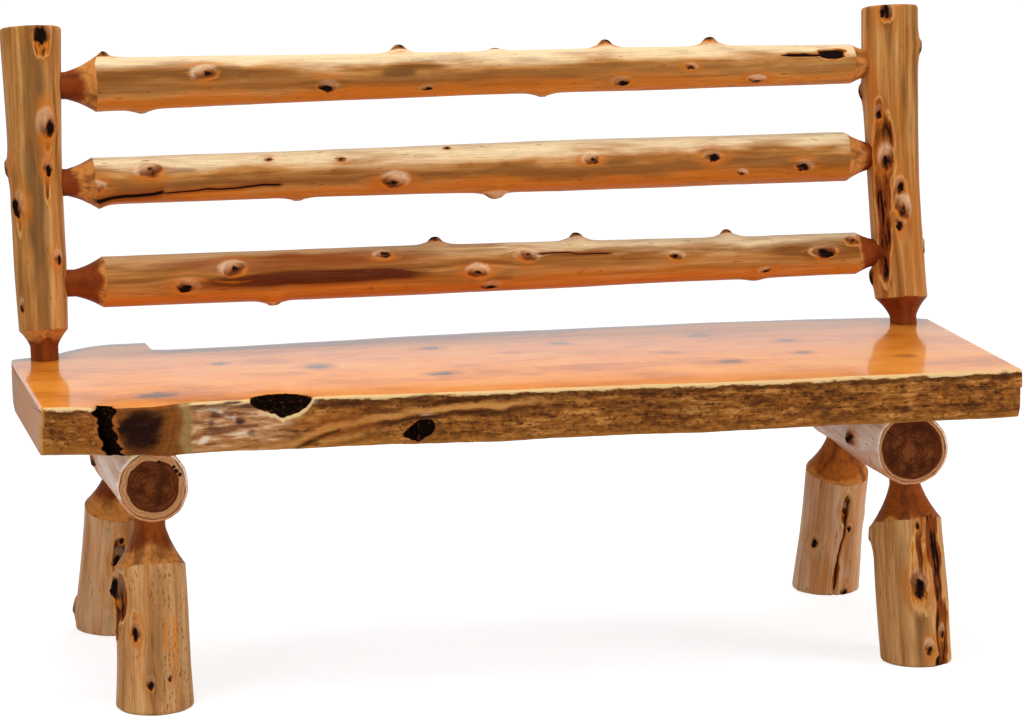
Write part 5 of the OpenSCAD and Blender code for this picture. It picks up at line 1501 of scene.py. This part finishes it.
def zincSteel():
    material, tree, shader = newFinish("zincSteel")
    place = addNode(tree, "ShaderNodeTexCoord").outputs["Object"]
    cloud = grainNoise(tree, place, (260, 260, 260), 3, 2)
    scratch = grainNoise(tree, place, (1400, 300, 900), 2, 6)
    colour = blendColour(tree, span(tree, cloud, 0.4, 0.7, 0.0, 0.7), steel["zinc"], steel["dull"])
    rough = span(tree, scratch, 0.3, 0.7, steel["roughness"] - 0.08, steel["roughness"] + 0.12)
    feed(tree, shader, {"Base Color": colour, "Metallic": 1.0, "Roughness": rough})
    return material


def finishFasteners():
    finish = zincSteel()
    for name in ("bolster_lag_screws", "bolster_washers", "post_lag_screws", "post_washers",
                 "rail_screws", "leg_screws"):
        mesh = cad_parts[name].data
        mesh.materials.clear()
        mesh.materials.append(finish)


finishFasteners()


# Studio

studio = {
    "floorSize": 36.0, "floor": (0.46, 0.46, 0.46), "glowNear": 0.78, "glowFar": 0.92, "world": 0.30,
    "lamps": [
        {"name": "overhead", "place": (-0.2, 0.25, 2.7), "aim": (0, 0, 0.5), "size": (3.2, 1.1), "power": 54},
        {"name": "front", "place": (0.3, -3.6, 0.55), "aim": (0, 0, 0.40), "size": (1.8, 0.9), "power": 8},
        {"name": "left", "place": (-2.6, -2.4, 0.55), "aim": (0.4, 0, 0.35), "size": (1.0, 1.0), "power": 40},
        {"name": "right", "place": (2.9, -1.7, 0.9), "aim": (0, 0, 0.45), "size": (1.2, 1.4), "power": 52},
    ],
}


def shownShare(tree):  # 1 for the camera and for mirror and glass rays, 0 for light that falls on the bench
    path = addNode(tree, "ShaderNodeLightPath")
    seen = mathNode(tree, "MAXIMUM", path.outputs["Is Camera Ray"], path.outputs["Is Glossy Ray"])
    return mathNode(tree, "MAXIMUM", seen, path.outputs["Is Transmission Ray"])


def buildWorld():
    world = bpy.data.worlds.new("studioWorld")
    bpy.context.scene.world = world
    world.use_nodes = True
    tree = world.node_tree
    back = tree.nodes["Background"]
    strength = addNode(tree, "ShaderNodeMapRange",
                       {"Value": shownShare(tree), "To Min": studio["world"], "To Max": 1.0})
    feed(tree, back, {"Strength": strength.outputs[0], "Color": (1, 1, 1, 1)})


def buildFloor():
    half = studio["floorSize"] / 2
    mesh = bpy.data.meshes.new("floor")
    mesh.from_pydata([(-half, -half, 0), (half, -half, 0), (half, half, 0), (-half, half, 0)], [], [(0, 1, 2, 3)])
    floor = newObject("floor", mesh)
    material, tree, shader = newFinish("paleFloor")
    reach = vectorNode(tree, "LENGTH", addNode(tree, "ShaderNodeTexCoord").outputs["Object"])
    glow = span(tree, reach, 1.6, 5.5, studio["glowNear"], studio["glowFar"])
    glow = times(tree, shownShare(tree), glow)
    feed(tree, shader, {"Base Color": (*studio["floor"], 1), "Roughness": 0.9, "Specular IOR Level": 0.0,
                        "Emission Color": (1, 1, 1, 1), "Emission Strength": glow})
    mesh.materials.append(material)


def hangLamps():
    for lamp in studio["lamps"]:
        light = bpy.data.lights.new(lamp["name"], "AREA")
        light.shape, light.size, light.size_y = "RECTANGLE", *lamp["size"]
        light.energy = lamp["power"]
        holder = newObject(lamp["name"], light)
        holder.location = lamp["place"]
        holder.visible_glossy = False  # the white round the bench is what the varnish mirrors
        toward = Vector(lamp["aim"]) - Vector(lamp["place"])
        holder.rotation_euler = toward.to_track_quat("-Z", "Y").to_euler()


buildWorld()
buildFloor()
hangLamps()
bpy.context.scene.view_settings.view_transform = "Standard"
print("cedar bench: studio done")
